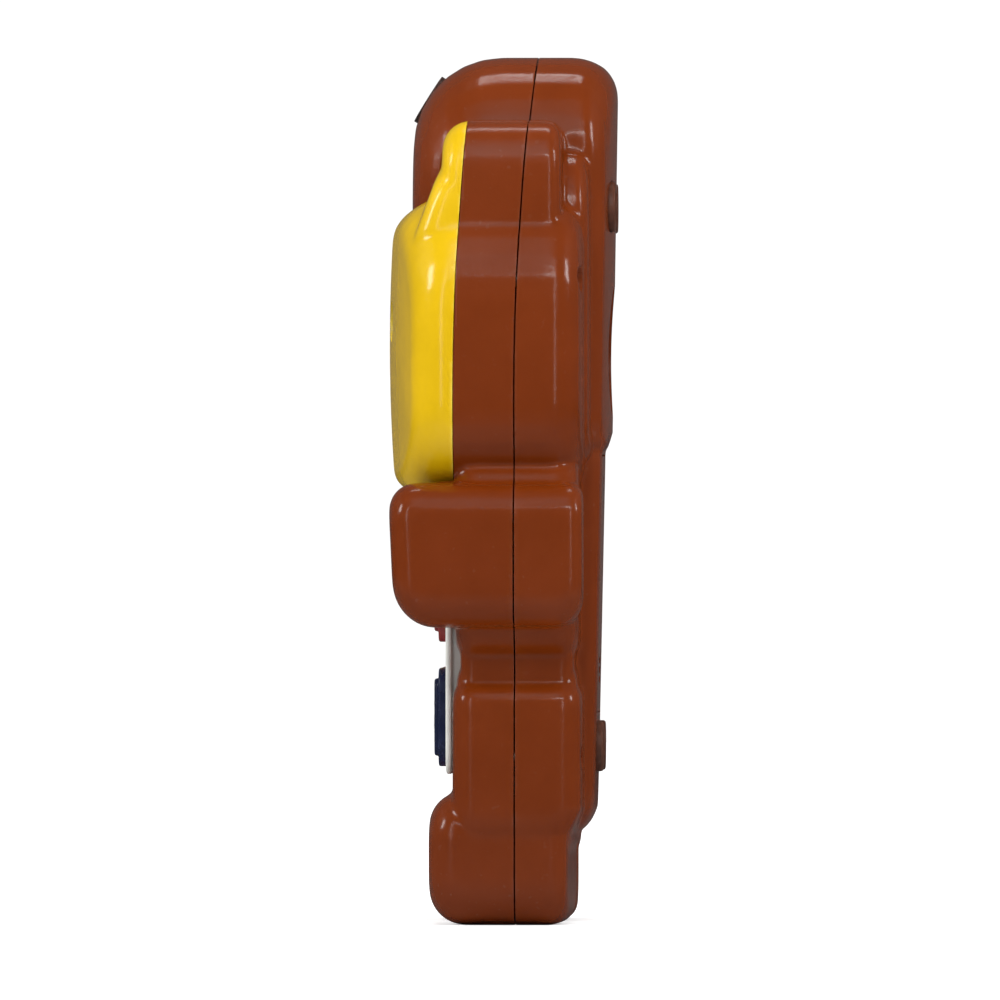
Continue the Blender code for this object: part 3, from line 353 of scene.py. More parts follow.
def seamDepth(height):
    rise = max(0.0, height - seam["bendStart"]) / (180.0 - seam["bendStart"])
    return seam["bendBack"] * rise ** 2


def seamRegion(name, offset, towards):
    # everything in front of (-1) or behind (1) the seam surface, moved by the offset
    far = -70.0 if towards < 0 else 70.0
    low, high = sorted((offset, far))
    made = addBox(name, (-80, low, -10), (80, high, 190))
    pickEdges(made, lambda a, b: abs((b - a).normalized().z) > 0.99)
    bpy.ops.mesh.subdivide(number_cuts=60)
    leaveEdit()
    for point in made.data.vertices:
        if abs(point.co.y - (offset + partingPlane) * mm) < 1e-6:
            point.co.y += seamDepth(point.co.z / mm) * mm
    return made


def ramp(way, run):
    # from 0 to 1 over a run in mm
    return min(max(way / run, 0.0), 1.0)


def crownBack(thing):
    # the upper back swells towards its middle line
    for point in thing.data.vertices:
        depth = point.co.y / mm - partingPlane
        inside = ramp(depth - backSwell["depth"], 4) * ramp(point.co.z / mm - backSwell["low"], 3)
        across = min(abs(point.co.x / mm), backSwell["widest"])
        point.co.y += backSwell["rise"] * (1 - (across / backSwell["level"]) ** 2) * inside * mm


def taperHeels(thing):
    # the heels run slightly forwards towards the flanks
    for point in thing.data.vertices:
        depth = point.co.y / mm - partingPlane
        inside = ramp(depth, 8) * ramp(heel["top"] - point.co.z / mm, 5)
        across = max(abs(point.co.x / mm) - heel["inner"], 0.0)
        point.co.y -= (heel["shift"] + heel["slope"] * across) * inside * mm


def mergedCopy(node):
    return tidyMesh(duplicate(frame["nodes"][node], node + "_copy"), merge=0.000004)


# Housing lobes, in mm: across and up in the front view, depths from the seam plane
seam = {"gap": 0.32, "bendStart": 108.0, "bendBack": 4.2}
backSwell = {"rise": 0.8, "level": 14.0, "depth": 13, "low": 99, "widest": 19.0}
heel = {"shift": 0.9, "slope": 0.045, "top": 24, "inner": 5.0}
backPlanes = {  # where each leaning plane of the back starts, its depth there, and its rise in its run
    "upper": (98.5, 17.9, 1.7, 81.5), "lower": (17.8, 16.0, 1.7, 81.2),
}
skins = {  # voxel size in mm, and rounds of smoothing
    "housing": (0.62, 10), "inside": (0.9, 3), "cover": (0.5, 32), "coverInside": (0.9, 2),
    "coverRoom": (0.7, 0),
}
lobes = {
    "crown": {"across": (-25, 25), "up": (98.5, 180), "front": 21.9, "back": 19.9, "backLow": 18.6,
              "corners": (20, 7), "frontRound": (18.5, 12, 1.5), "backRound": (8.5, 6, 1.5)},
    "bulge": {"across": (-22, 22), "up": (17.8, 99), "front": 8, "back": 17.7, "backLow": 16.0,
              "corners": (4, 7), "frontRound": (1, 1, 1), "backRound": (1, 5, 6)},
    "core": {"across": (-33, 33), "up": (95, 161.3), "front": 8, "back": 15.7,
             "corners": (14, 8), "frontRound": (4, 4, 4), "backRound": (4, 4, 4)},
    "head": {"across": (-46, 46), "up": (88, 152.4), "front": 16.6, "back": 14.1,
             "corners": (23, 19), "frontRound": (1, 1, 1), "backRound": (7, 7, 7)},
    "ear": {"across": (21, 40), "up": (140, 166.5), "front": 15.2, "back": 9.6,
            "corners": (9.4, 4), "frontRound": (6, 4, 1), "backRound": (3, 3, 1)},
    "arm": {"across": (34, 50), "up": (61.5, 91.5), "front": 26.1, "frontLow": 24.7, "back": 14.3,
            "corners": (7, 7), "frontRound": (6, 5, 9), "backRound": (3, 3, 6)},
    "torso": {"across": (-44, 44), "up": (55.6, 95), "front": 12.3, "back": 13.2,
              "corners": (4, 8), "frontRound": (1, 5, 3), "backRound": (1, 5, 3)},
    "waist": {"across": (-39, 39), "up": (43.8, 61.6), "front": 11.3, "back": 12.2,
              "corners": (4, 4), "frontRound": (1, 3, 1), "backRound": (1, 3, 1)},
    "pelvis": {"across": (-38, 38), "up": (28, 52.7), "front": 12.0, "back": 12.8,
               "corners": (4, 4), "frontRound": (1, 1, 1), "backRound": (1, 1, 1)},
    "leg": {"across": (3.5, 42), "up": (14.6, 49.8), "front": 12.9, "back": 13.9,
            "corners": (4, 8), "frontRound": (2.5, 5, 5.5), "backRound": (2.5, 5, 2.5)},
    "foot": {"across": (5, 41), "up": (0, 27.6), "front": 17.9, "back": 13.3,
             "corners": (9, 9), "frontRound": (7, 6, 7.5), "backRound": (4, 4, 4)},
}
paired = ("ear", "arm", "leg", "foot")
cover = {"across": (-46, 46), "up": (88, 152.4), "front": 19.5, "back": -6.3, "seat": 12.6,
         "corners": (23, 19), "frontRound": (10, 6, 5.5), "backRound": (1, 1, 1),
         "bow": 7.45, "bowPower": 2.0, "uprightBow": 0.18, "sideCuts": 9,
         "depth": 12.6, "wall": 2.0, "gap": 0.3, "room": 1.2, "edgeGap": 0.08}

# the swelling that leads from each ear's front into the face
earRoot = {"across": (21.5, 40), "up": (140, 158.6), "front": 15.0, "frontLow": 21.6, "back": 5,
           "corners": (8, 4), "frontRound": (4, 4, 1), "backRound": (1, 1, 1)}


def lobesOf(names, grow):
    # a rounded block for each name, and its mirror image where the form comes in pairs
    things = []
    for name in names:
        things.append(addLobe(name, lobes[name], grow))
        if name in paired:
            things.append(addLobe(name, mirroredSpec(lobes[name]), grow))
    return things


print("housing: skin over the lobes")
skin = blendSkin(joinThings("skin", lobesOf(lobes, 0.0)), *skins["housing"])
crownBack(skin)
taperHeels(skin)
innerSkin = blendSkin(joinThings("inner", lobesOf(lobes, -leastWall)), *skins["inside"])
taperHeels(innerSkin)
print("skin faces", len(skin.data.polygons))


def faceVolume(grow):
    # the domed face with the fronts of both ears
    things = [addLobe("faceDome", cover, grow)]
    for ear in (lobes["ear"], mirroredSpec(lobes["ear"]), earRoot, mirroredSpec(earRoot)):
        things.append(addLobe("earFront", ear, grow))
    return joinThings("faceCover", things)


def carveLobes(thing, grow=0.0):
    # the crown and the arms pass through the cover
    for lobe in lobesOf(("crown", "arm"), grow):
        carve(thing, lobe)


print("face cover")
faceCover = blendSkin(faceVolume(0.0), *skins["cover"])
carve(faceCover, seamRegion("coverSide", -cover["depth"] - cover["edgeGap"], -1), "INTERSECT")
faceSolid = duplicate(faceCover, "faceSolid")
coverHollow = blendSkin(faceVolume(-cover["wall"]), *skins["coverInside"])
carve(faceCover, coverHollow)
carveLobes(faceCover, cover["gap"])
print("cover faces", len(faceCover.data.polygons))

# the head's front gives way to the cover
print("housing: room for the cover")
faceRoom = blendSkin(faceVolume(cover["room"]), *skins["coverRoom"])
carve(faceRoom, seamRegion("roomSide", -cover["depth"] + cover["edgeGap"], -1), "INTERSECT")
carveLobes(faceRoom)
carve(skin, faceRoom)

doorSkin = duplicate(skin, "doorSkin")
print("housing: two halves with their walls")
frontShell = duplicate(skin, "frontShell")
backShell = skin
backShell.name = "backShell"
for shell, node, towards in ((frontShell, "front_shell", -1), (backShell, "back_shell", 1)):
    carve(shell, seamRegion("side", towards * seam["gap"] / 2, towards), "INTERSECT")
    hollow = duplicate(innerSkin, "hollow")
    carve(hollow, mergedCopy(node))
    carve(shell, hollow)
    print(node, "faces", len(shell.data.polygons))
deleteThing(innerSkin)


def cutRod(shell, start, end, radius, sides=64):
    return carve(shell, addRod("cutter", start, end, radius, sides))


def cutRound(shell, across, up, bottom, radius, sides=64):
    # a round opening from the back, down to its bottom
    return cutRod(shell, (across, bottom, up), (across, outside, up), radius, sides)


def cutBlock(shell, low, high, corner=0.0, segments=1):
    if corner:
        return carve(shell, roundBox("cutter", low, high, corner, segments))
    return carve(shell, addBox("cutter", low, high))


def backFace(up):
    # the plain back's depth at a height, for what sits in it
    start, depth, rise, run = backPlanes["upper" if up > 100 else "lower"]
    return depth + rise * (up - start) / run


# Fittings of the housing, in mm
screws = {"places": ((-39, 133.4), (-37.2, 80), (-35.5, 34.8), (39, 133.4), (37.2, 80), (35.5, 34.8)),
          "head": 2.5, "tall": 1.7, "seat": 4.0, "room": 0.3, "shank": 1.4, "reach": 6.5,
          "cross": (0.7, 0.2), "crossDeep": 0.8, "tip": 0.6}
plate = {"halfWidth": 31.0, "low": 31.1, "high": 80.5, "corner": 5.0, "front": 14.5, "back": 13.2,
         "neck": 9.9, "margin": 1.5, "fit": 0.3, "round": 0.6}
earpiece = {"centre": (0, -4.6, 162.5), "tilt": 32.0, "face": 17.0, "outer": 5.5, "bore": 3.6,
            "tall": 1.7, "sieve": 0.42, "sievePitch": 1.5, "room": 0.3, "gap": 0.25}
grille = {"up": 119.0, "radius": 14.0, "gap": 0.3, "rim": 17.728, "dish": 1.4, "slope": 3.0, "flange": 1.6,
          "flangeTop": 15.536, "flangeLow": 14.736, "hole": 1.1, "pitch": 3.6, "lip": (0.35, 0.65),
          "rings": ((0, 1), (1, 6), (2, 12))}
door = {"halfWidth": 16.35, "low": 43.9, "high": 97.0, "seat": 14.6, "gap": 0.3, "corner": 1.2,
        "screwUp": 90.0, "headSeat": 15.812, "headTop": 17.512, "head": 2.6, "shank": 1.3,
        "shankEnd": 6.6, "tabAcross": 7.425, "tabHalf": 2.25, "tabDepths": (13.0, 15.2),
        "tabLevels": (45.7, 46.9), "grooves": (50.5, 52.5, 54.5), "groove": (0.7, 0.25)}
pads = {"radius": 5.2, "gap": 0.25, "sunk": 0.8, "proud": 1.4, "round": 0.55,
        "dish": ((1.5, 0.0), (0.35, -0.2)),
        "places": (("pad_upper_left", -13.0, 148.8), ("pad_upper_right", 13.0, 148.8),
                   ("pad_lower_left", -11.3, 36.7), ("pad_lower_right", 11.3, 36.7))}
switch = {"up": 148.8, "face": 18.949, "recess": 1.4, "halfWide": 5.5, "halfTall": 3.1,
          "slotWide": 3.5, "slotTall": 1.5, "slotEnd": 14.7, "knobLow": 17.849, "knobTop": 19.049,
          "across": -2.0, "wide": 3.0, "tall": 2.6, "stem": 1.2, "stemEnd": 16.45,
          "grooves": (-1.5, -0.5, 0.5, 1.5), "groove": (0.32, 0.1)}
keys = {"pitch": 19.0, "middle": 55.8, "rise": 12.9, "half": (8.25, 10.2), "corner": 4.0, "room": 0.3,
        "stepFront": 16.1, "topFront": 17.0, "inset": 2.2, "flange": 1.0, "flangeFront": 9.6,
        "flangeBack": 8.4, "stem": 3.0, "stemEnd": 7.9, "round": 0.5,
        "colours": ("blue", "yellow", "red", "yellow", "red", "blue"), "digitTall": 6.4, "digitRise": 0.18}
cells = {"radius": 5.25, "depth": 8.45, "length": 44.5, "nubTall": 1.1, "sleeveEnd": 1.9,
         "endSteps": ((0.5, 0.0), (0.25, -0.25), (1.9, 0.0), (0.3, 0.25)), "nubRise": 0.85,
         "nubEdge": (0.2, 0.25), "starts": ((-9.3, 46.4, -1), (9.3, 50.0, 1))}
inserts = {"eye": (4.2, 4.2), "eyeAcross": 13.5, "eyeUp": 125.0, "nose": (5.8, 4.0), "noseUp": 113.0,
           "depth": 3.4, "gap": 0.15, "swell": 0.35, "sunk": 0.35, "frontBand": 1.4}

print("housing: openings")
for across, up in screws["places"]:
    cutRound(backShell, across, up, seamDepth(up) + screws["seat"], screws["head"] + screws["room"])
for name, across, up in pads["places"]:
    cutRound(backShell, across, up, backFace(up) - pads["sunk"], pads["radius"] + pads["gap"])
cutRound(backShell, 0, grille["up"], 10, grille["radius"] + grille["gap"], 96)
doorRoom = door["gap"]
cutBlock(
    backShell,
    (-door["halfWidth"] - doorRoom, door["seat"] - doorRoom, door["low"] - doorRoom),
    (door["halfWidth"] + doorRoom, outside, door["high"] + doorRoom),
    door["corner"], 4,
)
cutBlock(
    backShell,
    (-switch["halfWide"], switch["face"] - switch["recess"], switch["up"] - switch["halfTall"]),
    (switch["halfWide"], outside, switch["up"] + switch["halfTall"]),
    1.0, 5,
)
cutBlock(
    backShell,
    (-switch["slotWide"], switch["slotEnd"], switch["up"] - switch["slotTall"]),
    (switch["slotWide"], outside, switch["up"] + switch["slotTall"]),
)
neckInset = plate["margin"] - plate["fit"]
cutBlock(
    frontShell,
    (-plate["halfWidth"] + neckInset, -outside, plate["low"] + neckInset),
    (plate["halfWidth"] - neckInset, -plate["neck"] + 3, plate["high"] - neckInset),
    plate["corner"] - neckInset, 8,
)
slopeTurn = math.radians(earpiece["tilt"])
slopeWay = Vector((0, -math.cos(slopeTurn), math.sin(slopeTurn)))
slopeFace = Vector(earpiece["centre"]) + slopeWay * earpiece["face"]
slopeFoot = slopeFace - slopeWay * earpiece["tall"]
slopeFloor = slopeFoot - slopeWay * earpiece["room"]
cutRod(frontShell, slopeFloor, slopeFace + slopeWay * 6, earpiece["outer"] + earpiece["gap"])

print("battery door")
batteryDoor = duplicate(doorSkin, "batteryDoor")
carve(
    batteryDoor,
    roundBox(
        "cutter",
        (-door["halfWidth"], door["seat"], door["low"]),
        (door["halfWidth"], outside, door["high"]),
        door["corner"], 4,
    ),
    "INTERSECT",
)
deleteThing(doorSkin)
for side in (-1, 1):
    across = side * door["tabAcross"]
    tab = addBox(
        "tab", (across - door["tabHalf"], door["tabDepths"][0], door["tabLevels"][0]),
        (across + door["tabHalf"], door["tabDepths"][1], door["tabLevels"][1]),
    )
    carve(batteryDoor, tab, "UNION")
cutRound(batteryDoor, 0, door["screwUp"], door["headSeat"], door["head"] + door["gap"])
cutRound(batteryDoor, 0, door["screwUp"], 10, door["shank"] + door["gap"], 32)
for up in door["grooves"]:
    radius, lift = door["groove"]
    depth = backFace(up) + lift
    carve(batteryDoor, addRod("groove", (-5, depth, up), (5, depth, up), radius, 24))


def finishPiece(made, body, node, slotName, finish=None, angle=32):
    smoothShade(made, angle)
    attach(made, body)
    if node:
        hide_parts(node)
    made.data.materials.clear()
    made.data.materials.append(finishes[finish or slotName])
    return made


def placedCopy(thing, name, shift):
    made = duplicate(thing, name)
    made.location = [value * mm for value in shift]
    return settle(made)


print("face inserts")
insertPieces = []
for name, node, across, up, (halfWide, halfTall) in (
    ("eyeLeft", "eye_left", -inserts["eyeAcross"], inserts["eyeUp"], inserts["eye"]),
    ("eyeRight", "eye_right", inserts["eyeAcross"], inserts["eyeUp"], inserts["eye"]),
    ("nose", "nose", 0.0, inserts["noseUp"], inserts["nose"]),
):
    outline = addRod("outline", (0, -40, 0), (0, -10, 0), 1.0, 64)
    outline.scale = (halfWide, 1, halfTall)
    outline.location = (across * mm, 0, up * mm)
    settle(outline)
    carve(faceCover, outline, keepCutter=True)
    gapShare = 1 - inserts["gap"] / halfTall
    outline.location = (across * mm * (1 - gapShare), 0, up * mm * (1 - gapShare))
    outline.scale = (gapShare, 1, gapShare)
    settle(outline)
    made = duplicate(faceSolid, name)
    carve(made, outline, "INTERSECT")
    deepest = min(point.co.y for point in made.data.vertices) / mm - partingPlane
    carve(made, addBox("cutter", (-60, deepest + inserts["depth"], 80), (60, 40, 180)))
    bevelEdges(made, 0.3, 3, 50)
    behind = (deepest + inserts["frontBand"] + partingPlane) * mm
    fronts = [point for point in made.data.vertices if point.co.y < behind]
    level = max(point.co.y for point in fronts)
    for point in fronts:
        reach = ((point.co.x / mm - across) / halfWide) ** 2 + ((point.co.z / mm - up) / halfTall) ** 2
        point.co.y = level + inserts["sunk"] * mm - inserts["swell"] * max(1 - reach, 0.0) * mm
    insertPieces.append((made, node))
deleteThing(faceSolid)

print("key plate and keys")
keyPlate = roundBox(
    "keyPlate",
    (-plate["halfWidth"], -plate["front"], plate["low"]),
    (plate["halfWidth"], -plate["back"], plate["high"]),
    plate["corner"], 10,
)
pickFaces(keyPlate, lambda face: face.normal.y > 0.99)
insetBy(plate["margin"])
extrudeBy(plate["back"] - plate["neck"])
leaveEdit()
bevelEdges(keyPlate, plate["round"], 4, 60)
keyHalfWide, keyHalfTall = keys["half"]
keyCentres = []
for row in (0, 1):
    for column in (-1, 0, 1):
        keyCentres.append((column * keys["pitch"], keys["middle"] + (1 - 2 * row) * keys["rise"]))
for across, up in keyCentres:
    cutBlock(
        keyPlate,
        (across - keyHalfWide - keys["room"], -outside, up - keyHalfTall - keys["room"]),
        (across + keyHalfWide + keys["room"], 0, up + keyHalfTall + keys["room"]),
        keys["corner"] + keys["room"], 10,
    )

firstKey = roundBox(
    "firstKey",
    (-keyHalfWide, -keys["stepFront"], -keyHalfTall),
    (keyHalfWide, -keys["flangeFront"], keyHalfTall),
    keys["corner"], 10,
)
pickFaces(firstKey, lambda face: face.normal.y < -0.99)
insetBy(keys["inset"])
extrudeBy(keys["stepFront"] - keys["topFront"])
leaveEdit()
bevelEdges(firstKey, keys["round"], 4, 50)
pickFaces(firstKey, lambda face: face.normal.y > 0.99)
flangeWide, flangeTall = keyHalfWide + keys["flange"], keyHalfTall + keys["flange"]
middle = (0, (partingPlane - keys["flangeFront"]) * mm, 0)
extrudeBy()
bpy.ops.transform.resize(
    value=(flangeWide / (keyHalfWide - keys["round"]), 1, flangeTall / (keyHalfTall - keys["round"])),
    center_override=middle,
)
extrudeBy(keys["flangeFront"] - keys["flangeBack"])
extrudeBy()
bpy.ops.transform.resize(
    value=(keys["stem"] / flangeWide, 1, keys["stem"] / flangeTall), center_override=middle
)
extrudeBy(keys["flangeBack"] - keys["stemEnd"])
leaveEdit()
tidyMesh(firstKey)


def addDigit(text, across, up):
    bpy.ops.object.text_add(rotation=(math.pi / 2, 0, 0))
    made = bpy.context.object
    made.data.body = text
    made.data.size = keys["digitTall"] / 0.68 * mm
    made.data.extrude = keys["digitRise"] * mm
    made.data.bevel_depth = 0.05 * mm
    made.data.resolution_u = 6
    activate(made)
    bpy.ops.object.convert(target="MESH")
    made = bpy.context.object
    settle(made)
    corners = [point.co for point in made.data.vertices]
    low = [min(co[axis] for co in corners) for axis in range(3)]
    high = [max(co[axis] for co in corners) for axis in range(3)]
    top = (partingPlane - keys["topFront"] - keys["digitRise"]) * mm
    made.location = (
        across * mm - (low[0] + high[0]) / 2, top - low[1], up * mm - (low[2] + high[2]) / 2
    )
    return tidyMesh(settle(made))


print("back: pads, grille, switch")
firstPad = addRod("firstPad", (0, -pads["sunk"] + 0.3, 0), (0, pads["proud"], 0), pads["radius"], 72)
pickFaces(firstPad, lambda face: face.normal.y > 0.99)
for step in pads["dish"]:
    insetBy(*step)
leaveEdit()
bevelEdges(firstPad, pads["round"], 4, 60)

speakerGrille = addRod(
    "speakerGrille", (0, grille["flangeLow"], grille["up"]), (0, grille["flangeTop"], grille["up"]),
    grille["radius"] + grille["flange"], 96,
)
pickFaces(speakerGrille, lambda face: face.normal.y > 0.99)
insetBy(grille["flange"])
extrudeBy(grille["rim"] - grille["flangeTop"])
for width in grille["lip"]:
    insetBy(width)
fallen = 0.0
for step in range(1, 9):
    fall = grille["dish"] * (1 - math.cos(math.pi * step / 8)) / 2
    insetBy(grille["slope"] / 8, fallen - fall)
    fallen = fall
leaveEdit()
holes = []
for ring, count in grille["rings"]:
    for index in range(count):
        turn = 2 * math.pi * index / count
        across = ring * grille["pitch"] * math.cos(turn)
        up = grille["up"] + ring * grille["pitch"] * math.sin(turn)
        holes.append(addRod("hole", (across, 10, up), (across, outside, up), grille["hole"], 20))
carve(speakerGrille, joinThings("holes", holes))

switchKnob = roundBox(
    "switchKnob",
    (switch["across"] - switch["wide"], switch["knobLow"], switch["up"] - switch["tall"]),
    (switch["across"] + switch["wide"], switch["knobTop"], switch["up"] + switch["tall"]),
    0.7, 4,
)
bevelEdges(switchKnob, 0.25, 3, 60)
for offset in switch["grooves"]:
    across = switch["across"] + offset
    radius, lift = switch["groove"]
    depth = switch["knobTop"] + lift
    rib = addRod("rib", (across, depth, switch["up"] - 3), (across, depth, switch["up"] + 3), radius, 16)
    carve(switchKnob, rib)
stem = addBox(
    "stem",
    (switch["across"] - switch["stem"], switch["stemEnd"], switch["up"] - switch["stem"]),
    (switch["across"] + switch["stem"], switch["knobLow"] + 0.3, switch["up"] + switch["stem"]),
)
carve(switchKnob, stem, "UNION")

print("earpiece")
earpieceRing = addRod("earpieceRing", slopeFoot, slopeFace, earpiece["outer"], 96)
carve(earpieceRing, addRod("bore", slopeFoot - slopeWay, slopeFace + slopeWay, earpiece["bore"], 96))
bevelEdges(earpieceRing, 0.35, 4, 60)
earpieceGrille = addRod(
    "earpieceGrille", slopeFoot, slopeFace - slopeWay * earpiece["room"],
    earpiece["bore"] - earpiece["room"], 64,
)
slopeAcross = Vector((1, 0, 0))
slopeUp = slopeAcross.cross(slopeWay)
sieve = []
for ring, count in ((0, 1), (1, 6)):
    for index in range(count):
        turn = 2 * math.pi * index / count
        shift = (slopeAcross * math.cos(turn) + slopeUp * math.sin(turn)) * ring * earpiece["sievePitch"]
        low, high = slopeFoot + shift - slopeWay, slopeFace + shift + slopeWay
        sieve.append(addRod("hole", low, high, earpiece["sieve"], 16))
carve(earpieceGrille, joinThings("sieve", sieve))


def addScrew(name, across, up, top, head, tall, shank, end):
    # a flat round head with a cross recess and a plain shank that points to the front
    made = addRod(name, (across, top - tall, up), (across, top, up), head, 64)
    bevelEdges(made, 0.35, 3, 60)
    reach, narrow = (head * share for share in screws["cross"])
    floor = top - screws["crossDeep"]
    for wide, high in ((reach, narrow), (narrow, reach)):
        cross = addBox("cross", (across - wide, floor, up - high), (across + wide, top + 1, up + high))
        carve(made, cross)
    shankRod = addRod("shank", (across, end, up), (across, top - tall + 0.3, up), shank, 32)
    pickEdges(shankRod, lambda a, b: max(a.y, b.y) < (end + partingPlane + 0.01) * mm)
    bpy.ops.mesh.bevel(offset=screws["tip"] * mm, segments=1, affect="EDGES")
    leaveEdit()
    return carve(made, shankRod, "UNION")


print("screws and cells")
firstScrew = addScrew(
    "firstScrew", 0, 0, screws["seat"] + screws["room"] + screws["tall"], screws["head"],
    screws["tall"], screws["shank"], -screws["reach"],
)
screwPieces = [
    placedCopy(firstScrew, f"caseScrew{index + 1}", (across, seamDepth(up), up))
    for index, (across, up) in enumerate(screws["places"])
]
deleteThing(firstScrew)
doorScrew = addScrew(
    "doorScrew", 0, door["screwUp"], door["headTop"], door["head"], 1.4, door["shank"], door["shankEnd"]
)


def addCell(name, across, start, way):
    low, high = start, start + cells["length"]
    if way > 0:
        high -= cells["nubTall"]
    else:
        low += cells["nubTall"]
    made = addRod(name, (across, cells["depth"], low), (across, cells["depth"], high), cells["radius"], 72)
    bevelEdges(made, 0.5, 4, 60)
    pickFaces(made, lambda face: face.normal.z * way > 0.99)
    for step in cells["endSteps"]:
        insetBy(*step)
    extrudeBy(up=way * cells["nubRise"])
    insetBy(*cells["nubEdge"])
    leaveEdit()
    return made


cellPieces = [addCell(f"cell{index + 1}", *place) for index, place in enumerate(cells["starts"])]


# Shared effects for the finishes
def feed(tree, made, inputs):
    # by label or number: a socket is linked to the input, anything else is its value
    for label, value in inputs.items():
        entry = made.inputs[label]
        if isinstance(value, bpy.types.NodeSocket):
            tree.links.new(value, entry)
        else:
            entry.default_value = (*value, 1) if entry.type == "RGBA" else value
    return made


def addNode(tree, kind, inputs=(), **settings):
    made = tree.nodes.new(kind)
    for key, value in settings.items():
        setattr(made, key, value)
    return feed(tree, made, dict(inputs))


def addNoise(tree, place, scale, detail=2.0, roughness=0.5):
    inputs = {"Vector": place, "Scale": scale, "Detail": detail, "Roughness": roughness}
    return addNode(tree, "ShaderNodeTexNoise", inputs).outputs["Fac"]


def addMath(tree, operation, first, second):
    return addNode(tree, "ShaderNodeMath", {0: first, 1: second}, operation=operation).outputs[0]


def addRange(tree, value, low, high, toLow=0.0, toHigh=1.0):
    inputs = {"Value": value, "From Min": low, "From Max": high, "To Min": toLow, "To Max": toHigh}
    return addNode(tree, "ShaderNodeMapRange", inputs).outputs["Result"]


def mixColour(tree, share, first, second):
    return addNode(tree, "ShaderNodeMix", {0: share, 6: first, 7: second}, data_type="RGBA").outputs[2]


def placeIn(tree):
    return addNode(tree, "ShaderNodeTexCoord").outputs["Object"]


def rayIs(tree, label):
    return addNode(tree, "ShaderNodeLightPath").outputs[label]


def newGroup(name, inputs, outputs):
    group = bpy.data.node_groups.new(name, "ShaderNodeTree")
    for label, value in inputs.items():
        socket = group.interface.new_socket(name=label, in_out="INPUT", socket_type="NodeSocketFloat")
        socket.default_value = value
    for label in outputs:
        group.interface.new_socket(name=label, in_out="OUTPUT", socket_type="NodeSocketFloat")
    return group, group.nodes.new("NodeGroupInput").outputs, group.nodes.new("NodeGroupOutput")


def useGroup(tree, group, inputs=()):
    return addNode(tree, "ShaderNodeGroup", inputs, node_tree=group).outputs


# moulded surface: a slow waviness and a fine peel, as a height, and a faint mottle
moulded, given, end = newGroup("mouldedSurface", {"Peel Height": 0.5}, ("Height", "Mottle"))
place = placeIn(moulded)
peel = addMath(moulded, "MULTIPLY", addNoise(moulded, place, 900.0, 3.0), given["Peel Height"])
wave = addMath(moulded, "MULTIPLY", addNoise(moulded, place, 45.0, 1.0), 0.8)
mottle = addNoise(moulded, place, 70.0, 5.0, 0.6)
feed(moulded, end, {"Height": addMath(moulded, "ADD", peel, wave), "Mottle": mottle})

# edge wear: worn on raised edges, broken up by a noise
edgeWear, given, end = newGroup("edgeWear", {"Reach": 0.5}, ("Mask",))
pointy = addNode(edgeWear, "ShaderNodeNewGeometry").outputs["Pointiness"]
raised = addRange(edgeWear, pointy, 0.505, 0.56)
broken = addRange(edgeWear, addNoise(edgeWear, placeIn(edgeWear), 260.0, 4.0), 0.35, 0.65)
mask = addMath(edgeWear, "MULTIPLY", addMath(edgeWear, "MULTIPLY", raised, broken), given["Reach"])
feed(edgeWear, end, {"Mask": mask})

# handling: smears and dust that change the gloss from place to place
handling, given, end = newGroup(
    "handling", {"Smear Scale": 35.0, "Dust Scale": 700.0}, ("Smear", "Dust")
)
place = placeIn(handling)
smear = addRange(handling, addNoise(handling, place, given["Smear Scale"], 6.0, 0.65), 0.4, 0.7)
dots = addRange(handling, addNoise(handling, place, given["Dust Scale"], 1.0), 0.68, 0.76)
feed(handling, end, {"Smear": smear, "Dust": addMath(handling, "MULTIPLY", dots, smear)})

# grain: lines drawn along one axis, for brushed and drawn metal, and fibres for paper
grain, given, end = newGroup("grain", {"Scale": 300.0, "Stretch": 12.0}, ("Height", "Tone"))
parts = addNode(grain, "ShaderNodeSeparateXYZ", {"Vector": placeIn(grain)}).outputs
across = addMath(grain, "MULTIPLY", parts["X"], given["Stretch"])
drawn = addNode(grain, "ShaderNodeCombineXYZ", {"X": across, "Y": parts["Y"], "Z": parts["Z"]})
lines = addNoise(grain, drawn.outputs["Vector"], given["Scale"], 4.0)
feed(grain, end, {"Height": lines, "Tone": addRange(grain, lines, 0.3, 0.7, 0.85, 1.1)})


def newMaterial(name):
    material = bpy.data.materials.new(name)
    material.use_nodes = True
    return material, material.node_tree, material.node_tree.nodes["Principled BSDF"]


def addBump(tree, shader, height, distance):
    bump = addNode(tree, "ShaderNodeBump", {"Height": height, "Distance": distance, "Strength": 1.0})
    feed(tree, shader, {"Normal": bump.outputs["Normal"]})


plasticLook = {"peel": 0.35, "wear": 0.5, "dust": 0.03, "rough": 0.24, "smear": 0.10, "coat": 0.0,
               "bump": 0.00009}


